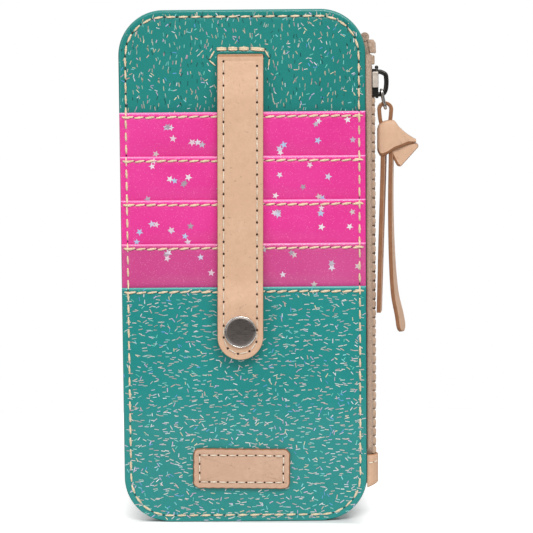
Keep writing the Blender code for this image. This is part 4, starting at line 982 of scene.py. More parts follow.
def strips(name, spots, skin, side, base, calm, length):
    """Foil strips on a surface: one quad each, pushed 0.03 mm out of it. Most point
    along the angle base in calm colours; those near a hub, and one in five elsewhere,
    are bright and point anywhere."""
    count = len(spots)
    hubs = spots[random.integers(0, count, max(3, count // 30))]
    near = np.min(np.linalg.norm(spots[:, None] - hubs[None], axis=2), axis=1)
    bright = (near < 2.6) | (random.uniform(size=count) < 0.20)
    angle = base + random.normal(0.0, 0.26, count)
    angle = np.where(bright, random.uniform(0, math.pi, count), angle)
    half = np.where(bright, 0.92, 1.0) * random.uniform(*length, count) / 2
    wide = random.uniform(0.12, 0.165, count)
    along = spokes(angle)
    across = coords(-along[:, 1], along[:, 0])
    corner = np.array([(-1, -1), (1, -1), (1, 1), (-1, 1)])
    flat = (spots[:, None] + along[:, None] * (half[:, None] * corner[:, 0])[..., None]
            + across[:, None] * (wide[:, None] * corner[:, 1])[..., None])
    keep = inset_of(flat[..., 0], flat[..., 1]).min(axis=1) > 0.25
    colours = np.where(bright[:, None], BRIGHT_FOIL[random.integers(0, len(BRIGHT_FOIL), count)],
                       calm[random.integers(0, len(calm), count)])
    colours = colours * random.uniform(0.75, 1.05, count)[:, None]
    flat, colours = flat[keep], colours[keep]
    y = skin(flat[..., 0], flat[..., 1]) + side * 0.03
    points = coords(flat[..., 0], y, flat[..., 1])
    quads = np.arange(4 * len(flat)).reshape(-1, 4)[:, ::-side]
    put(name, points, [quads], "root", "teal_vinyl", [FOIL],
        tint=np.repeat(colours[:, None], 4, axis=1))


# %% [markdown]
# There are three sets of strips: above the card pockets, on the lower pocket and on the
# back.

# %% Strips on the front and the back
upper = scatter(-EDGE_X, EDGE_X, SLOT_TOP + 0.9, BODY_HEIGHT, 0.23)
strips("glitter_upper", upper, front_skin, -1, math.pi / 2, MUTED, (1.1, 1.75))
spots = scatter(-EDGE_X, EDGE_X, 0.5, LOWER_TOP - 0.9, 0.26)
strips("glitter_lower", spots, front_skin, -1, 0.0, CALM, (1.25, 1.95))
spots = scatter(-EDGE_X, EDGE_X, 0.5, BODY_HEIGHT, 0.21)
strips("glitter_back", spots, back_skin, 1, 0.0, CALM, (1.3, 2.0))
print("strips", len(upper), "on the upper part")

# %% [markdown]
# ## Stars
#
# Small five-pointed stars of silver foil lie in the pink vinyl, some alone and some in
# heaps. Their places are random. A star is ten points round a centre, the outer ones at
# 1.5 mm and the inner ones at 0.7 mm.

# %% Stars on the card pockets
STAR_FOIL = srgb([(255, 246, 252), (244, 232, 246), (224, 220, 244), (206, 198, 214),
                  (186, 168, 184), (250, 222, 236), (196, 214, 250), (230, 214, 214)])
for p in POCKETS[:-1]:
    hubs = scatter(-44.0, 44.0, p["top"] - SLOT_PITCH + 0.5, p["top"] - 1.0, 0.0135)
    extra = hubs[random.uniform(size=len(hubs)) < 0.45]
    extra = extra + random.uniform(-2.4, 2.4, extra.shape)
    third = extra[random.uniform(size=len(extra)) < 0.4]
    third = third + random.uniform(-2.4, 2.4, third.shape)
    spots = np.concatenate([hubs, extra, third])
    inside = ((np.abs(spots[:, 0]) < 44.5) & (spots[:, 1] < p["top"] - 1.6)
              & (spots[:, 1] > p["top"] - SLOT_PITCH - 0.5))
    spots = spots[inside]
    count = len(spots)
    turn = random.uniform(0, math.tau, count)[:, None] + circle(10)
    reach = np.where(np.arange(10) % 2 == 0, 1.52, 0.66)[None] * random.uniform(
        0.85, 1.05, count)[:, None]
    flat = spots[:, None] + spokes(turn) * reach[..., None]
    flat = np.concatenate([spots[:, None], flat], axis=1)
    level = 0.04 + 0.02 * np.arange(count)[:, None] / count
    y = pocket_face(p, flat[..., 0], flat[..., 1]) - level
    colours = STAR_FOIL[random.integers(0, len(STAR_FOIL), count)]
    put(p["name"] + "_stars", coords(flat[..., 0], y, flat[..., 1]),
        [repeated(fan(10), count, 11)], "root", "pink_vinyl", [FOIL],
        tint=np.repeat(colours[:, None], 11, axis=1))
    print(p["name"], count, "stars")

# %% [markdown]
# ## The strap
#
# Two layers of leather, 17.6 mm wide with a round end. It comes out of the slit, lies
# over the pockets' edges and passes over the snap. The side view is one chain of
# S-curves and straight runs, the same as the solid's.

# %% Strap course
SNAP_STACK, STRAP_THICK = 2.8, 2.0
card_top = AIR + CARD_DEPTH * math.sin(card_lean) + CARD_SHEET + HEM


def strap_middle(z):
    """Middle of the strap's width: it leans a little, with its foot to the left."""
    return SLIT_X - (STRAP_TOP - z) * math.tan(STRAP_LEAN)


def strap_depth(z):
    """Depth of the strap's inner side, as a chain of S-curves and straight runs."""
    cards_y = FACE_Y - card_top - 0.3
    lower_y = lower_face(LOWER_TOP) - HEM - 0.3
    over_cards, over_lower, over_snap = SLOT_TOP + 4, LOWER_TOP + 4, SNAP_Z + 8.9
    snap_y = lower_face(z) - SNAP_STACK
    y = mix(snap_y, lower_y, smooth((z - over_snap) / (over_lower - over_snap)))
    y = np.where(z > over_lower,
                  mix(lower_y, cards_y, (z - over_lower) / (over_cards - over_lower)), y)
    up = mix(cards_y, FACE_Y - 0.3, smooth((z - over_cards) / (STRAP_TOP - 0.55 - over_cards)))
    return np.where(z > over_cards, up, y)


def strap_outline(step, corner=0.7):
    """Straight sides, a flat top with small corners, and a half circle at the foot."""
    half, foot, top = STRAP_WIDTH / 2, STRAP_TOP - STRAP_LENGTH, STRAP_TOP
    n = round((top - corner - foot - half) / step)
    up = np.linspace(foot + half, top - corner, n, endpoint=False)
    right = coords(half, up)
    turn = np.radians(np.linspace(0, 90, 5))
    tr = coords(half - corner + corner * np.cos(turn), top - corner + corner * np.sin(turn))
    over = np.linspace(half - corner, corner - half, round(2 * half / step) + 1)[1:-1]
    over = coords(over, top)
    turn = np.radians(np.linspace(180, 360, round(math.pi * half / step) + 1))[1:-1]
    end = coords(half * np.cos(turn), foot + half + half * np.sin(turn))
    points = np.concatenate([right, tr, over, tr[::-1] * [-1, 1], right[::-1] * [-1, 1], end])
    near = np.roll(points, -1, axis=0) - np.roll(points, 1, axis=0)
    outward = coords(near[:, 1], -near[:, 0])
    return points, unit(outward)


def leather_edge(thickness, radius, dip=0.0, seam=2.3, run=4.0, worn=130):
    """Profile of a leather layer: flat back, cut edge with worn corners, flat front
    with a shallow sewn line. The cut edge's look ends at the angle worn of its corner."""
    rows = [(run, 0.0, 0), (min(1.2, 0.8 * run), 0.0, 0)]
    rows += arc_profile((radius, radius), radius, 270, 180, 4, 1)
    rows += [(-0.05, thickness / 2, 1)]
    rows += arc_profile((radius, thickness - radius), radius, 180, worn, 3, 1)
    rows += arc_profile((radius, thickness - radius), radius, (worn + 90) / 2, 90, 2, 0)
    return rows + [(d, thickness - dip * math.exp(-((d - seam) / 0.45) ** 2), 0)
                   for d in np.arange(0.6, run, 0.25)]


# %% [markdown]
# Both layers are plates with a worn cut edge. The face layer has a sewn line and lies
# 0.1 mm in front of the lining.

# %% Strap layers
def strap_layer(name, inner, thickness, dip, node_name):
    """One layer: the plate laid on the strap's course, leaning with it. The cut edge
    shows also over the rounding of its square top."""
    foot, half = STRAP_TOP - STRAP_LENGTH, STRAP_WIDTH / 2
    outline = strap_outline(0.6)
    places, heights, kinds = plate(outline, leather_edge(thickness, 0.28, dip), 5,
                                    (foot + 9.0, STRAP_TOP - 9.0),
                                    box=(-half, half, foot, STRAP_TOP))
    kinds.reshape(-1, len(outline[0]))[10:17, outline[1][:, 1] > 0.9] = 1
    z = places[..., 1]
    x = places[..., 0] + strap_middle(z)
    y = strap_depth(z) - inner - heights
    return put_rings(name, x, y, z, "strap", "leather", [TAN, PALE_EDGE], [kinds],
                     weld=0.004, replaces=[node_name])


strap_layer("strap_lining_leather", 0.0, 0.8, 0.0, "strap_lining")
strap_face = strap_layer("strap_face_leather", 0.9, 1.1, 0.12, "strap_face")
print("strap points", len(strap_face.data.vertices))

# %% [markdown]
# The strap's seam runs down one side, round the end and up the other. Its thread is
# thin and pulled down into the leather, so mostly the dark holes show.

# %% Strap seam
def strap_skin(x, z):
    """The outer face of the strap, one thickness in front of its inner side."""
    return strap_depth(z) - STRAP_THICK


def strap_line(inset):
    """A line at an inset from the strap's edge, from the top left round to the top."""
    half, foot = STRAP_WIDTH / 2 - inset, STRAP_TOP - STRAP_LENGTH + STRAP_WIDTH / 2
    turn = np.radians(np.linspace(180, 360, 60))
    left = np.array([[-half, STRAP_TOP - 1.0]])
    end = coords(half * np.cos(turn), foot + half * np.sin(turn))
    line = np.concatenate([left, end, left * [-1, 1]])
    line = along_line(line, np.linspace(0, 2 * (STRAP_TOP - 1 - foot) + math.pi * half, 900))
    line[:, 0] += strap_middle(line[:, 1])
    return line


STRAP_SEAM, STRAP_PITCH = 2.35, 4.72
line = strap_line(STRAP_SEAM)
length = np.linalg.norm(np.diff(line, axis=0), axis=1).sum()
count = round(length / STRAP_PITCH)
at = (np.arange(count + 1) + 0.3) * length / (count + 1)
start, stop = along_line(line, at[:-1] + NEEDLE), along_line(line, at[1:] - NEEDLE)
stitches("strap_seam", start, stop, strap_skin, -1, 0.23, "strap", "leather", WHITE_THREAD,
         sink=0.03)
holes("strap_seam_holes", along_line(line, at), strap_skin, -1, 0.46, "strap", "leather")
print("strap seam", count, "stitches")

# %% [markdown]
# Where the strap enters the leaf, a thin lip of vinyl stands over it. Four double
# stitches of heavy thread lie above the lip, and two slanting ones beside each corner.

# %% Lip and bar tack
def tube(name, path, u, v, radii, around, body, slot, looks, closed=False, replaces=(),
         power=1.0):
    """An ellipse with two radii carried along a path. u and v are its two directions,
    one for all or one for each point. A power below 1 squares the ellipse."""
    a = (np.arange(around) + 0.5) / around * math.tau
    c = np.sign(np.cos(a)) * np.abs(np.cos(a)) ** power
    s = np.sign(np.sin(a)) * np.abs(np.sin(a)) ** power
    u, v, radii = np.atleast_2d(u), np.atleast_2d(v), np.atleast_2d(radii)
    points = (path[:, None] + u[:, None] * (radii[:, 0:1] * c)[..., None]
              + v[:, None] * (radii[:, 1:2] * s)[..., None])
    if closed:
        points = np.concatenate([points, points[:1]])
    faces = loft_faces(len(points), around)[:1 if closed else 3]
    put(name, points, faces, body, slot, looks, weld=0.002, replaces=replaces, sharp=45)


RIGHTWARDS, BACKWARDS, UPWARDS = np.eye(3)
lip = np.linspace(-9.6, 9.6, 60)
lip_path = coords(SLIT_X + lip, FACE_Y - 0.05,
                  STRAP_TOP + 1.0 - 1.1 * smooth((np.abs(lip) - 8.2) / 1.4))
full = smooth((9.75 - np.abs(lip)) / 0.8)
tube("slit_lip", lip_path, BACKWARDS, UPWARDS, coords(0.30 * full + 0.02, 0.62 * full + 0.02), 12,
     "root", "teal_vinyl", [TEAL])
tack = STRAP_TOP + 2.35
row = np.array([-9.35, -4.95, -0.75, 3.65])
end = np.array([-5.05, -0.85, 3.5, 9.6])
start = coords(np.repeat(SLIT_X + row, 2), tack + np.tile([-0.26, 0.30], 4))
stop = coords(np.repeat(SLIT_X + end, 2), tack + np.tile([-0.30, 0.26], 4))
stop[-2:, 1] -= 0.45
stitches("bar_tack", start, stop, front_skin, -1, 0.48, sink=-0.10)
corner_start = np.array([[-9.9, 1.75], [-12.1, -1.9], [9.5, 1.75], [11.2, -1.6]])
corner_stop = np.array([[-11.8, -1.5], [-9.4, -4.2], [11.1, -1.2], [10.7, -4.8]])
corner_holes = np.array([[-12.0, -1.7], [11.2, -1.4], [10.7, -5.0], [9.7, 2.15]])
at_slit = np.array([SLIT_X, STRAP_TOP])
stitches("corner_tacks", corner_start + at_slit, corner_stop + at_slit, front_skin, -1, 0.30,
         sink=-0.05)
holes("tack_holes", corner_holes + at_slit, front_skin, -1, 0.34)
print("bar tack", len(start), "stitches, corners", len(corner_start))

# %% [markdown]
# ## The snap
#
# A cap on the strap, its socket under it, and a stud with its rivet on the pocket. All
# are turned shapes: a profile of radius and height, spun round the snap's axis.

# %% Turned pieces
OUT = np.array([0.0, -math.cos(lower_lean), -math.sin(lower_lean)])
UP = np.array([0.0, -math.sin(lower_lean), math.cos(lower_lean)])
SNAP = np.array([strap_middle(SNAP_Z), lower_face(SNAP_Z), SNAP_Z])


def turned(name, profile, body, slot, looks, replaces, kinds=None, steps=72):
    """A profile of (radius, height) spun round the snap's axis."""
    profile = np.asarray(profile, float)
    a = circle(steps)
    r, height = profile[:, 0][:, None, None], profile[:, 1][:, None, None]
    points = (SNAP + r * np.cos(a)[None, :, None] * RIGHTWARDS
              + r * np.sin(a)[None, :, None] * UP + height * OUT)
    put(name, points, [grid_faces(len(profile), steps, around=True)], body, slot, looks,
        [np.repeat(kinds, steps)] if kinds else None, weld=0.002, replaces=replaces, sharp=50)


under = SNAP_STACK + STRAP_THICK + 0.1
turn = np.radians(np.linspace(-60, 150, 16))
rim = [(5.97 + 0.28 * math.cos(t), under + 0.52 + 0.48 * math.sin(t)) for t in turn]
face = [(5.66 * t, under + 0.84 + 0.14 * (1 - t * t)) for t in np.linspace(1.0, 0.0, 9)]
cap = [(0, SNAP_STACK), (1.2, SNAP_STACK), (1.2, under), (5.7, under)] + rim + face
turned("snap_cap_metal", cap, "strap", "gunmetal", [CAP_RIM, CAP_FACE],
       ["snap_cap"], [0] * (3 + len(rim)) + [1] * len(face))
turned("snap_socket_metal", [
    (2.25, 1.25), (2.32, 1.05), (2.55, 1.0), (3.0, 1.0), (3.3, 1.1), (3.55, 1.35), (3.75, 1.9),
    (3.95, 2.15), (4.7, 2.25), (4.88, 2.4), (4.9, 2.58), (4.75, 2.7), (2.25, 2.7), (2.25, 1.25)],
    "strap", "nickel", [BRIGHT], ["snap_socket"])
turned("snap_stud_metal", [
    (0, 0.1), (4.85, 0.1), (5.0, 0.25), (4.9, 0.45), (4.6, 0.58), (2.0, 0.62), (1.6, 0.8),
    (1.45, 1.05), (1.6, 1.35), (1.9, 1.6), (1.95, 1.85), (1.88, 2.1), (1.6, 2.32), (1.1, 2.4),
    (0, 2.4)], "root", "nickel", [BRIGHT], ["snap_stud"])
print("snap at", np.round(SNAP, 2))

# %% [markdown]
# ## The bare leather patch
#
# A small plate of thicker leather, sewn on near the foot, with a row of dark holes and
# pale thread sunk between them. Its edge waves a little, and its face is left bare.

# %% Patch
PATCH_W, PATCH_H, PATCH_THICK, PATCH_GAP, WAVE = 37.8, 15.9, 1.4, 0.1, 0.07
PATCH_AT, PATCH_TURN = np.array([-1.6, 21.4]), math.radians(1.0)


def turn_patch(flat):
    """Flat places turned with the patch: its right end sinks a little."""
    c, s = math.cos(PATCH_TURN), math.sin(PATCH_TURN)
    x, z = flat[..., 0], flat[..., 1]
    return coords(x * c + z * s, z * c - x * s) + PATCH_AT


def patch_skin(x, z):
    """The patch's face: its thickness in front of the lower pocket."""
    return lower_face(z) - PATCH_GAP - PATCH_THICK


outline = rounded_outline(PATCH_W, PATCH_H, 2.4, 0.5)
wavy = outline[0] + outline[1] * (WAVE * np.sin(np.arange(len(outline[0])) * 0.9))[:, None]
hw, hh = PATCH_W / 2 + WAVE, PATCH_H / 2 + WAVE
edge = leather_edge(PATCH_THICK, 0.45, 0.14, 2.5, 3.6, 97)
places, heights, kinds = plate((wavy, outline[1]), edge, 5, (0.0, 0.0), box=(-hw, hw, -hh, hh))
x, z = np.moveaxis(turn_patch(places), -1, 0)
put_rings("patch_leather", x, lower_face(z) - PATCH_GAP - heights, z, "root", "patch_leather",
          [PATCH_TAN, TAN_EDGE], [kinds], weld=0.004, replaces=["leather_patch"])
hw, hh = PATCH_W / 2 - 2.5, PATCH_H / 2 - 2.6
top, right = coords(np.linspace(-hw, hw, 10), hh)[:-1], coords(hw, np.linspace(hh, -hh, 4))[:-1]
spots = np.concatenate([top, right, top * [-1, -1], right * [-1, -1]])
spots = spots + random.uniform(-0.08, 0.08, spots.shape)
after = np.roll(spots, -1, axis=0)
way = unit(after - spots)
stitches("patch_seam", turn_patch(spots + 0.40 * way), turn_patch(after - 0.40 * way),
         patch_skin, -1, 0.27, "root", "patch_leather", WHITE_THREAD, sink=0.02)
holes("patch_holes", turn_patch(spots), patch_skin, -1, 0.38, "root", "patch_leather")
print("patch seam", len(spots), "stitches")

# %% [markdown]
# ## The zip
#
# Each tape half comes out from between the leaves, rounds the fold and reaches the
# teeth. It is one section carried up the zip, with pattern coordinates in millimetres
# for its weave.

# %% Tapes
TAPE_PLANE, TAPE_TOP, TAB_TOP, TOOTH_X = 49.8, 182.4, 26.0, 50.1
TAPE_BOTTOM, TAPE_EDGE, TAPE_THICK = 20.0, 37.4, 0.48


def tape_section(side, count=46):
    """Half thickness either side of a smooth line from the seam to the teeth."""
    line = curve([(TAPE_EDGE, 2.3), (43.0, 2.3), (46.4, 2.3), (47.3, 2.52), (47.83, 3.08),
                  (47.95, 3.65), (47.86, 4.15), (47.84, 4.5), (48.1, 4.74), (48.7, 4.72),
                  (49.3, 4.5), (49.68, 4.1), (49.79, 3.5), (TAPE_PLANE, 2.8)], count)
    run, half = distances(line), TAPE_THICK / 2 * beside(line)
    both = np.concatenate([line - half, (line + half)[::-1]])
    return both * [1, side], np.concatenate([run, run[::-1]])


for name, side in (("front", -1), ("back", 1)):
    section, run = tape_section(side)
    levels = np.concatenate([np.linspace(TAPE_BOTTOM, TAB_TOP + 4, 9),
                             np.linspace(TAB_TOP + 6, TAPE_TOP, 40)])
    free = smooth((section[:, 0] - EDGE_X + FOLD) / 1.4)
    pinch = mix(0.5, 1.0, smooth((levels - TAB_TOP) / 3.0))
    y = section[None, :, 1] * (1 - free[None] * (1 - pinch[:, None]))
    put("tape_" + name, coords(section[:, 0], y, levels[:, None]), loft_faces(*y.shape),
        "root", "zip_tape", [TAPE_LOOK], uv=coords(run, levels[:, None]), weld=0.0005,
        replaces=["zip_tape_" + name], sharp=60)
print("tape", round(run.max(), 1), "mm wide")

# %% [markdown]
# Each tooth is a moulded block astride the tape's edge, a neck and a head that reaches over to the
# other side. Its section is an eight-sided outline that changes size along its length. The outer
# corners of the base are cut back, and a cord in the dark look of painted shade runs behind them, so
# the row shows small dark notches.

# %% Teeth
TOOTH_START, TOOTH_PITCH, SLIDER_BOTTOM, CORD_RADIUS, CORD_Y = 27.8, 3.6, 165.5, 0.47, 2.05
TOOTH_COUNT = int((SLIDER_BOTTOM + 4.6 - TOOTH_START) / TOOTH_PITCH) + 1
section = np.array([(-1.3, -1.0), (-1.0, -1.45), (0.45, -1.62), (1.3, -0.80),
                    (1.3, 0.80), (0.45, 1.62), (-1.0, 1.45), (-1.3, 1.0)])
stations = np.array([  # distance from the middle, scale across, scale along the zip
    (2.62, 0.80, 0.80), (2.50, 1.0, 1.0), (1.80, 1.0, 1.0), (1.45, 0.98, 0.42),
    (0.50, 0.98, 0.32), (0.15, 0.98, 0.52), (-0.45, 0.98, 0.50), (-0.75, 0.80, 0.30)])


def round_edges(piece, width, segments, angle, harden=False):
    """Round those edges of a piece that turn by more than an angle, by a width in mm."""
    change = piece.modifiers.new("round edges", "BEVEL")
    change.width, change.segments, change.limit_method = width * MM, segments, "ANGLE"
    change.angle_limit, change.harden_normals = math.radians(angle), harden


for name, side, first in (("front", -1, 0.0), ("back", 1, TOOTH_PITCH / 2)):
    levels = TOOTH_START + first + np.arange(TOOTH_COUNT) * TOOTH_PITCH
    points = coords(TOOTH_X + section[:, 0] * stations[:, 1:2], side * stations[:, 0:1],
                    levels[:, None, None] + section[:, 1] * stations[:, 2:3])
    side_faces = grid_faces(8, 8, around=True)
    ends = np.arange(8)[None, ::-1], np.arange(56, 64)[None]
    teeth = [repeated(each, TOOTH_COUNT, 64) for each in (side_faces, *ends)]
    # The cord behind the teeth takes the dark look of painted shade.
    a = circle(10)
    cord = coords(TAPE_PLANE + CORD_RADIUS * np.cos(a), side * CORD_Y + CORD_RADIUS * np.sin(a),
                  np.linspace(TAB_TOP - 2.0, 178.0, 120)[:, None]).reshape(-1, 3)
    parts = teeth + loft_faces(120, 10, TOOTH_COUNT * 64)
    made = put("teeth_" + name, np.concatenate([points.reshape(-1, 3), cord]), parts,
               "root", "zip_teeth", [TOOTH_LOOK, HOLE_SHADE],
               [np.full(len(each), k > 2, int) for k, each in enumerate(parts)],
               replaces=["zip_teeth_" + name], weld=0.0005, sharp=35)
    round_edges(made, 0.12, 1, 40)
print(TOOTH_COUNT, "teeth a side")

# %% [markdown]
# Stops and the slider's body have the right shape in the solid model, so a merged copy
# of each gets finely rounded edges.

# %% Rounded copies of solid pieces
def rounded_copy(node_name, name, width, segments, body, finish, aside=0.0):
    """A merged copy of a solid piece with its flat parts joined and its edges round,
    moved aside by so many mm to keep in line with the finer tape."""
    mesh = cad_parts[node_name].data.copy()
    mesh.name = name
    bm = bmesh.new()
    bm.from_mesh(mesh)
    bmesh.ops.remove_doubles(bm, verts=bm.verts, dist=1e-6)
    bmesh.ops.dissolve_limit(bm, angle_limit=math.radians(1.0), verts=bm.verts, edges=bm.edges)
    bmesh.ops.recalc_face_normals(bm, faces=bm.faces)
    bmesh.ops.translate(bm, verts=bm.verts, vec=(aside * MM, 0.0, 0.0))
    bm.to_mesh(mesh)
    bm.free()
    mesh.materials.clear()
    mesh.materials.append(finish)
    mesh.shade_smooth()
    mesh.set_sharp_from_angle(angle=math.radians(35))
    piece = show(name, mesh)
    round_edges(piece, width, segments, 30, harden=True)
    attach(piece, body)
    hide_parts(node_name)


for name, aside in (("zip_stop_front", -1.0), ("zip_stop_back", -0.4), ("zip_bottom_stop", -0.4)):
    rounded_copy(name, name + "_moulded", 0.35, 3, "root", TOOTH_LOOK, aside)
rounded_copy("slider_body", "slider_body_metal", 0.14, 2, "slider", GLOSS_BLACK, -0.4)

# %% [markdown]
# The slider's front flank shows pale between the black plates. Its pale colour is a painted
# reflection, with a little real metal shine.

# %% Flank with a painted reflection
outline = polygon_outline([(50.3, 169.7), (52.5, 169.7), (52.5, 175.7), (50.3, 175.7)], 0.3, 0.2)
profile = [(0.25, 0.0, 0), (0.06, 0.0, 0), (0.0, 0.06, 0), (0.0, 0.2, 0), (0.06, 0.26, 0),
           (0.25, 0.28, 0)]
places, heights, kinds = plate(outline, profile, 3, (172.7, 172.7), 51.4)
put_rings("slider_flank_painted_reflection", places[..., 0], -3.78 - heights, places[..., 1], "slider", "gunmetal",
          [FLANK_PAINTED_REFLECTION], weld=0.003)

# %% [markdown]
# ## The zip's top end
#
# The tape is folded over twice at the top. Its neck runs up beside the body's shoulder
# to a small roll, and a thick folded block stands to the right of it.

# %% Neck, folded block and roll
for name, corners, back, thick, replaced in (
        ("zip_top_neck", [(46.4, 182.0), (49.5, 182.0), (49.3, 187.4), (48.6, 189.6), (46.4, 189.6)],
         0.30, 2.1, []),
        ("zip_top_fold", [(49.3, 182.9), (51.8, 182.7), (51.6, 186.8), (50.7, 188.1), (48.3, 188.1)],
         0.35, 3.0, ["zip_top_end"])):
    outline = polygon_outline(corners, 0.5, 0.2)
    profile = ([(0.45, 0.05, 0)] + arc_profile((0.5, 0.5), 0.5, 240, 180, 4, 0)
               + arc_profile((0.5, thick - 0.5), 0.5, 180, 100, 5, 0) + [(0.48, thick + 0.02, 0)])
    middle = np.mean(corners, axis=0)
    places, heights, kinds = plate(outline, profile, 3, (middle[1], middle[1]), middle[0])
    put_rings(name, places[..., 0], back - heights, places[..., 1], "root", "zip_tape",
              [TAPE_LOOK], uv=places, replaces=replaced, weld=0.004)
ring_r = np.array([0.0, 0.3, 0.42, 0.6, 0.78, 0.9, 1.1, 1.3, 1.45, 1.62, 1.72, 1.75, 1.72,
                   1.55, 0.8, 0.0])
ring_y = np.array([-2.15, -2.18, -2.02, -2.05, -2.28, -2.30, -2.12, -2.16, -2.30, -2.22, -2.0,
                   -1.2, -0.2, 0.15, 0.25, 0.25])
a, r = circle(40), ring_r[:, None]
put_rings("zip_top_roll", 47.45 + r * np.cos(a), ring_y[:, None], 189.15 + r * np.sin(a),
          "root", "zip_tape", [TAPE_LOOK], uv=coords(a * 1.2, r * 3), weld=0.004)
print("roll", 2 * ring_r.max(), "mm across")

# %% [markdown]
# ## The leather tab
#
# A strip of leather is folded round the lower end of the zip and caught in the body's
# seam. It is a bent strip: a U in plan, cut square at the top and slanted at the foot.

# %% Tab
TAB_OUT, TAB_LEATHER, TAB_HEIGHT = 52.2, 1.2, 13.0
left, bend = EDGE_X + 0.06, TAB_OUT - TAB_LEATHER / 2
half_path = np.array([(left, 4.05), (left + 0.9, 3.98), (49.7, 3.5), (50.8, 2.35),
                      (bend - 0.15, 1.0), (bend, 0.0)])
path = curve(np.concatenate([half_path * [1, -1], half_path[-2::-1]]), 41)
half = beside(path) * TAB_LEATHER / 2
inner, outer = path - half, path + half
foot = TAB_TOP - TAB_HEIGHT + 0.38 * (path[:, 0] - left)
# once round the strip's section: across from inside (0) to outside (1), and up from the
# foot (0) to the top (1), with a shift in mm
around = [(1, 0, 0.28), (1, 0, 1.0), (1, 0, 3.0), (1, 1, -3.0), (1, 1, -1.0), (1, 1, -0.28),
          (0.78, 1, 0), (0.22, 1, 0), (0, 1, -0.28), (0, 1, -3.0), (0, 0, 3.0), (0, 0, 0.28),
          (0.22, 0, 0), (0.78, 0, 0)]
ring = np.stack([np.concatenate([mix(inner, outer, w), (mix(foot, TAB_TOP, e) + dz)[:, None]], 1)
                 for w, e, dz in around], axis=1)
kinds = np.tile([0, 0, 0, 0, 0, 1, 1, 1, 0, 0, 0, 1, 1, 1], len(path) - 1)
put("tab_leather", ring, loft_faces(len(ring), len(around)), "root", "leather",
    [TAN, PALE_EDGE], [kinds, [1], [1]], weld=0.002, replaces=["zip_end_tab"], sharp=50)


def tab_skin(x, z):
    """The outer side of the tab's front half, read from its plan."""
    return np.interp(x, outer[:21, 0], outer[:21, 1])


start = np.array([[48.1, 22.75], [50.3, 23.05]])
stop = np.array([[50.1, 22.95], [51.9, 23.25]])
stitches("tab_seam", start, stop, tab_skin, -1, 0.26, "root", "leather", WHITE_THREAD, sink=0.05)
stitches("tab_seam_back", start, stop, lambda x, z: -tab_skin(x, z), 1, 0.26, "root",
         "leather", WHITE_THREAD, sink=0.05)
holes("tab_holes", np.array([[50.2, 23.0]]), tab_skin, -1, 0.26, "root", "leather")
print("tab from", round(TAB_TOP - TAB_HEIGHT, 1), "to", TAB_TOP, "mm above the foot")

# %% [markdown]
# ## Slider, bail and link
#
# The bail is an arch of flattened wire over the slider, and the link is a rounded
# rectangle of round wire that hangs in it.

# %% Bail and link
PLATE_OUT, SLIDER_TOP, BAIL_REACH, LINK_LENGTH = 52.6, 177.0, 4.0, 7.26
BAIL_WIRE, LINK_WIRE, PLAY = 0.8, 0.6, 0.25
FOOT = np.array([53.7, 0.0, 167.0])
peak, reach, start_x = SLIDER_TOP - 1.5, PLATE_OUT + BAIL_REACH - BAIL_WIRE, PLATE_OUT - 0.1
arch = curve([(start_x, peak), (start_x + 1.0, peak + 0.1), (reach - 0.4, peak - 0.9),
              (reach, peak - 2.8), (reach, mix(FOOT[2], peak, 0.42)),
              (reach - 0.35, FOOT[2] + 1.5), (FOOT[0] + 0.75, FOOT[2] + 0.05),
              (start_x, FOOT[2] - 0.1)], 64)
t = np.linspace(0, 1, 64)
wide = 1.12 + 0.35 * np.exp(-(t / 0.12) ** 2) + 0.25 * np.exp(-((t - 1.0) / 0.12) ** 2)
tube("bail_metal", upright(arch), upright(beside(arch)), BACKWARDS, coords(0.92, wide), 20,
     "slider", "gunmetal", [GLOSS_BLACK], replaces=["slider_bail"], power=0.8)
LEAN = math.radians(12.3)
LINK_TOP = FOOT + [0.1, 0.0, LINK_WIRE + BAIL_WIRE + PLAY]
down = np.array([math.sin(LEAN), 0.0, -math.cos(LEAN)])
facing = np.array([math.cos(LEAN), 0.0, math.sin(LEAN)])
LINK_FOOT = LINK_TOP + LINK_LENGTH * down
flat, out = rounded_outline(5.8, LINK_LENGTH, 1.2, 0.28)
path = (LINK_TOP + LINK_FOOT) / 2 + flat[:, 0:1] * BACKWARDS - flat[:, 1:2] * down
tube("link_metal", path, out[:, 0:1] * BACKWARDS - out[:, 1:2] * down, facing,
     [LINK_WIRE, LINK_WIRE], 14, "link", "nickel", [BRIGHT], closed=True,
     replaces=["pull_link"])
print("link from", np.round(LINK_TOP, 2), "to", np.round(LINK_FOOT, 2))

# %% [markdown]
# ## The knotted pull
#
# One lace of leather goes through the link as a loop and is closed by a broad band that
# wraps it, and its two tails hang down on edge. So the front shows mostly brown cut
# edges, and a little of the pale face where a tail turns. The lace is a rounded
# rectangle carried along each part's own path and turned as it goes.

# %% The lace as a swept strip
LACE = 1.6


def strip(path, half, twist, thickness=LACE):
    """Points, length and looks of a lace: path in the x-z plane, half its half width
    across, twist its turn about the path. Narrow sides get the cut edge's look."""
    path = np.asarray(path, float)
    n = len(path)
    half, twist = np.broadcast_to(half, (n,)), np.broadcast_to(twist, (n,))
    normal = upright(beside(path[:, [0, 2]]))
    u = normal * np.cos(twist)[:, None] + BACKWARDS * np.sin(twist)[:, None]
    v = BACKWARDS * np.cos(twist)[:, None] - normal * np.sin(twist)[:, None]
    th = thickness / 2
    quarter = np.array([(th, -1.6), (th, -0.28), (th - 0.09, -0.09), (th - 0.28, 0.0)])
    half_round = np.concatenate([quarter, quarter[::-1] * [-1, 1]])
    a = np.concatenate([half_round[:, 0], -half_round[:, 0]])
    b = np.repeat([1.0, -1.0], 8)
    c = np.concatenate([half_round[:, 1], -half_round[:, 1]])
    across = half[:, None] * b[None] + c[None]
    points = path[:, None] + u[:, None] * a[None, :, None] + v[:, None] * across[..., None]
    kinds = np.tile([0, 0, 1, 1, 1, 1, 0, 0, 0, 0, 1, 1, 1, 1, 0, 0], n - 1)
    return points.reshape(-1, 3), n, kinds


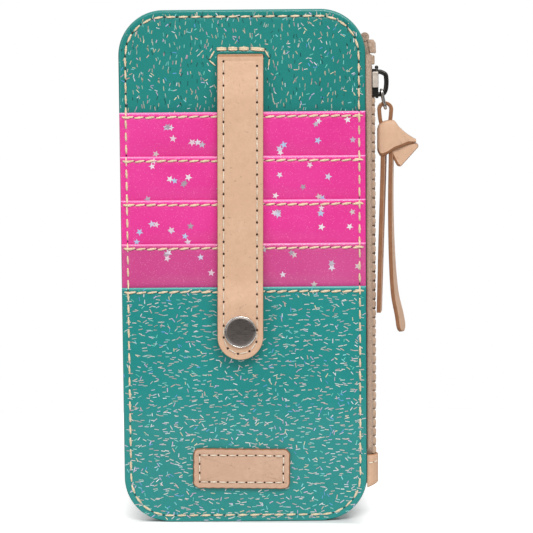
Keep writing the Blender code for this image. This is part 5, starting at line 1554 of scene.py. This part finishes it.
def put_strips(name, parts, replaces=()):
    """Several swept strips as one piece."""
    points, faces, kinds, first = [], [], [], 0
    for part, n, kind in parts:
        faces += loft_faces(n, 16, first)
        kinds += [kind, [1], [1]]
        points.append(part)
        first += n * 16
    put(name, np.concatenate(points), faces, "pull", "leather", [TAN, TAN_EDGE], kinds,
        weld=0.001, replaces=replaces, sharp=50)


# %% [markdown]
# The loop goes up on the left of the link's lower wire, over it and down on its right, as
# a little more than half a circle between two short legs. The short tail and the long
# tail bend a little on their way down, and the long one ends in a round tip.

# %% Loop and tails
RADIUS, LOOP_RISE, LOOP_LACE = 2.35, 0.27, 1.4
HEAD = LINK_FOOT - [0.0, 0.0, RADIUS - LACE / 2 - LINK_WIRE - PLAY]
turn = np.radians(np.linspace(190, -10, 19))
loop_path = curve(np.concatenate([
    [(HEAD[0] - 0.7, 0, HEAD[2] - 8.0), (HEAD[0] - 1.9, 0, HEAD[2] - 3.9)],
    coords(HEAD[0] + RADIUS * np.cos(turn), 0.0, HEAD[2] + LOOP_RISE + RADIUS * np.sin(turn)),
    [(HEAD[0] + 1.9, 0, HEAD[2] - 3.9), (HEAD[0] + 0.7, 0, HEAD[2] - 8.0)]]), 70)
KNOT_LEFT, LONG_TAIL, SHORT_TAIL = 3.1, 86.6, 78.8
short_x = HEAD[0] - KNOT_LEFT + LACE / 2 + 1.5
long_x = short_x + 2.8


def tail(x, length, bends, count=76):
    """A tail's path: sideways shifts at fractions of its length, hanging from the knot."""
    return curve([(x + dx, 0, HEAD[2] - max(f * length, 13.0)) for dx, f in bends], count)


t = np.linspace(0, 1, 76)
short = tail(short_x, SHORT_TAIL, ((0.3, 0), (-0.1, 0.36), (-0.9, 0.66), (-1.7, 1)))
long = tail(long_x, LONG_TAIL, ((0.4, 0), (0.1, 0.42), (0.5, 0.65), (1.5, 0.82), (3.2, 0.92),
                                (4.3, 1)))
wide = mix(3.6, 4.0, t)
tip = wide * np.sqrt(1 - np.clip((t - 0.955) / 0.047, 0, 1) ** 2)
put_strips("pull_lace", [strip(loop_path, 2.0, 0.0, LOOP_LACE),
                         strip(short, wide, 0.18 - 0.06 * t),
                         strip(long, tip, 0.12 + 0.06 * t + 0.18 * t ** 3)], ["leather_pull"])
print("tails", SHORT_TAIL, "and", LONG_TAIL, "mm below the loop's middle")

# %% [markdown]
# The band is broad and round where it wraps the lace and runs out to a flat tip on the
# right. The lace's end comes out under it as a flat flap. The band is a loft: each
# station gives its upper and lower edge and its depth, and its section is a rectangle
# with rounded corners and a brown cut edge along its foot.

# %% Knot band and flap
stations = curve([(0.0, 7.2, 15.6, 1.6), (0.5, 6.0, 16.8, 3.0), (1.3, 5.1, 17.8, 3.7),
                  (3.3, 4.2, 17.3, 4.2), (6.4, 4.1, 15.4, 4.1), (8.4, 6.5, 14.7, 3.7),
                  (11.0, 8.9, 13.7, 3.0), (13.6, 10.7, 13.0, 2.3), (15.0, 11.4, 12.7, 1.8)], 44)
right, upper_edge, lower_edge, deep = stations.T[..., None]
# half of the section, from the foot round the front to the top: shares of the depth and
# of the half height, with shifts in mm
front = np.array([(0.3, -1, 0, -0.1), (1, -1, -0.45, 0), (1, -1, -0.12, 0.15), (1, -1, 0, 0.45),
                  (1, -1, 0.05, 1.25), (1, -0.3, 0.16, 0), (1, 0.35, 0.12, 0), (1, 1, -0.08, -0.75),
                  (1, 1, -0.35, -0.2), (1, 1, -0.9, 0), (0.3, 1, 0, 0.1)])
section = np.concatenate([front * [-1, 1, -1, 1], front[::-1]]).T[:, None]
half = (lower_edge - upper_edge) / 2
level = HEAD[2] - (upper_edge + lower_edge) / 2 + half * section[1]
points = coords(HEAD[0] - KNOT_LEFT + right, deep * section[0] + section[2],
                level + section[3] * np.minimum(1, half / 1.3))
along_foot = np.isin(np.arange(22), (0, 1, 2, 3, 17, 18, 19, 20, 21))[None]
along_top = (np.arange(43)[:, None] > 26) & np.isin(np.arange(22), (9, 10, 11))[None]
rim = (along_foot | along_top).ravel().astype(int)
put("knot_band", points, loft_faces(44, 22), "pull", "leather", [TAN, TAN_EDGE],
    [rim, [0], [1]], weld=0.001, sharp=55)
shift = np.array([HEAD[0] - KNOT_LEFT, HEAD[2]])
corners = np.array([(3.3, 13.4), (7.6, 21.6), (8.9, 22.0), (16.0, 14.3), (15.6, 12.9)])
outline = polygon_outline(corners * [1, -1] + shift, 0.9, 0.3)
middle = shift[1] - 15.5
places, heights, kinds = plate(outline, leather_edge(LACE, 0.3, 0.0, 2.3, 0.9, 110), 3,
                               (middle, middle), shift[0] + 10.0)
kinds.reshape(-1, len(outline[0]))[8:16, outline[1][:, 0] < -0.2] = 1
tilt = (places[..., 0] - shift[0] - 3.3) * 0.16
put_rings("knot_flap", places[..., 0], -1.75 + tilt - heights, places[..., 1], "pull",
          "leather", [TAN, TAN_EDGE], [kinds], weld=0.003)
print("pull hangs to", round(HEAD[2] - LONG_TAIL, 1), "mm above the foot")

# %% [markdown]
# ## Pieces inside
#
# Board, lining, the strap's tongue and the rivet keep their solid shape. They show only
# through gaps or when the strap is lifted, and get a finish of their own.

# %% Finishes of the inner pieces
for name, finish in (("front_board", BOARD_LOOK), ("back_board", BOARD_LOOK),
                     ("pocket_lining_front", CLOTH), ("pocket_lining_back", CLOTH),
                     ("strap_tongue", TAN), ("snap_rivet", BRIGHT)):
    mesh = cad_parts[name].data
    mesh.materials.clear()
    mesh.materials.append(finish)
    print(name, "gets", finish.name)

# %% [markdown]
# ## Camera, light and background
#
# A long lens from a little above, straight on, with the organizer filling the frame. In
# the picture the body's middle is at column 243.0 and its foot at row 521.3. The
# background is plain white. The trims, two shifts in mm and a factor for the lens, come
# from laying the pictures over each other.

# %% Camera
PX, HALF_PICTURE, BODY_COLUMN, FOOT_ROW = 0.3909, 266.5, 243.0, 521.3
TRIM_X, TRIM_Z, TRIM_LENS = 0.35, 0.55, 1.0055
AIM = np.array([(HALF_PICTURE - BODY_COLUMN) * PX + TRIM_X, 0.0,
                (FOOT_ROW - HALF_PICTURE) * PX + TRIM_Z])
DISTANCE, RISE_ANGLE, ROLL = 850.0, math.radians(6.0), math.radians(0.48)
camera_data = bpy.data.cameras.new("camera")
camera = show("camera", camera_data)
spot = AIM + DISTANCE * np.array([0.0, -math.cos(RISE_ANGLE), math.sin(RISE_ANGLE)])
camera.location = spot * MM + SHIFT
camera.rotation_euler = (math.pi / 2 - RISE_ANGLE, ROLL, 0.0)
camera_data.sensor_width = 36.0
camera_data.lens = 18.0 / (HALF_PICTURE * PX / (DISTANCE + FACE_Y)) * TRIM_LENS
camera_data.clip_start = 0.01
bpy.context.scene.camera = camera
print("camera", round(camera_data.lens, 2), "mm lens,", DISTANCE, "mm away")

# %% [markdown]
# Three rectangular lamps in front: a key from above on the right, a fill from the left,
# and a narrow strip from above that draws a line of light on metal and folds.

# %% Lamps
def lamp(name, at, aim, size, power):
    """A rectangular lamp that shines from one place towards another, in metres."""
    data = bpy.data.lights.new(name, "AREA")
    data.shape, data.size, data.size_y, data.energy = "RECTANGLE", size[0], size[1], power
    made = show(name, data)
    made.location = at
    made.rotation_euler = (Vector(aim) - Vector(at)).to_track_quat("-Z", "Y").to_euler()


lamp("key", (0.30, -0.75, 0.95), (0, 0, 0.1), (0.8, 0.4), 6.8)
lamp("fill", (-0.8, -0.9, 0.35), (0, 0, 0.1), (0.6, 0.9), 2.4)
lamp("strip", (0.0, -0.85, 0.80), (0, 0, 0.12), (1.0, 0.03), 2.5)
print("lamps:", len(bpy.data.lights))

# %% [markdown]
# The floor is a white sheet under the foot. It keeps the shadow near the object. Away
# from it, aside and towards the camera, the sheet glows as much as it takes to turn it
# to the background's plain white. Each fade is given by where it starts and is full, in
# metres from the body's middle and from the plane of the zip. The front fade is turned
# a little, as the camera is.

# %% Floor
FLOOR_LOOK = look("white floor", (0.85, 0.85, 0.85), 0.9, Emission_Color=(1.0, 1.0, 1.0, 1.0))
GLOW, SIDE_FADE, FRONT_FADE, FADE_SLOPE = 0.55, (0.038, 0.051), (0.0065, 0.0115), 0.08
where = node(FLOOR_LOOK, "SeparateXYZ", {0: place(FLOOR_LOOK)})
aside = sums(FLOOR_LOOK, "SUBTRACT", where.outputs[0], SHIFT[0] + 0.0015)
aside = band(FLOOR_LOOK, sums(FLOOR_LOOK, "ABSOLUTE", aside), *SIDE_FADE, 0.0, GLOW)
slant = sums(FLOOR_LOOK, "MULTIPLY", where.outputs[0], FADE_SLOPE)
ahead = sums(FLOOR_LOOK, "ADD", where.outputs[1], slant)
ahead = band(FLOOR_LOOK, ahead, *(SHIFT[1] - np.array(FRONT_FADE)), 0.0, GLOW)
ray = node(FLOOR_LOOK, "LightPath").outputs["Is Camera Ray"]
paper = noise(FLOOR_LOOK, place(FLOOR_LOOK), 900.0, 2.0)
feed(FLOOR_LOOK, "Roughness", band(FLOOR_LOOK, paper, 0.0, 1.0, 0.85, 0.95))
feed(FLOOR_LOOK, "Emission Strength",
     sums(FLOOR_LOOK, "MULTIPLY", ray, sums(FLOOR_LOOK, "MAXIMUM", aside, ahead)))
gx, gy = np.meshgrid(np.linspace(-0.25, 0.25, 11), np.linspace(-0.2, 0.25, 10))
mesh = bpy.data.meshes.new("floor")
mesh.from_pydata(coords(gx, gy, 0.0).reshape(-1, 3), [], grid_faces(10, 11).tolist())
mesh.materials.append(FLOOR_LOOK)
floor = show("floor", mesh)

# %% [markdown]
# The world is plain white to the camera. In reflections it is bright above, below and
# behind and darker where the camera stands, so folds and metal show their shape. For
# all other light it is even.

# %% World
EVEN, DARKEST = 0.46, 0.13
world = bpy.data.worlds.new("studio")
bpy.context.scene.world = world
world.use_nodes = True
part = node(world, "SeparateXYZ", {0: node(world, "TexCoord").outputs["Generated"]})
above = band(world, part.outputs[2], 0.02, 0.50)
below = band(world, part.outputs[2], -0.25, -0.70)
behind = band(world, part.outputs[1], 0.55, 0.95)
bright = sums(world, "MAXIMUM", sums(world, "MAXIMUM", above, below), behind)
glow = band(world, bright, 0.0, 1.0, DARKEST, 1.0)
rays = node(world, "LightPath")
seen = sums(world, "MAXIMUM", rays.outputs["Is Camera Ray"], rays.outputs["Is Transmission Ray"])
plain = band(world, seen, 0.0, 1.0, EVEN, 1.0)
strength = node(world, "Mix", {0: rays.outputs["Is Glossy Ray"], 2: plain, 3: glow}).outputs[0]
world.node_tree.links.new(strength, world.node_tree.nodes["Background"].inputs["Strength"])
world.node_tree.nodes["Background"].inputs["Color"].default_value = (1.0, 1.0, 1.0, 1.0)
bpy.context.scene.view_settings.view_transform = "Standard"

# %% Update the scene and finish
bpy.context.view_layer.update()
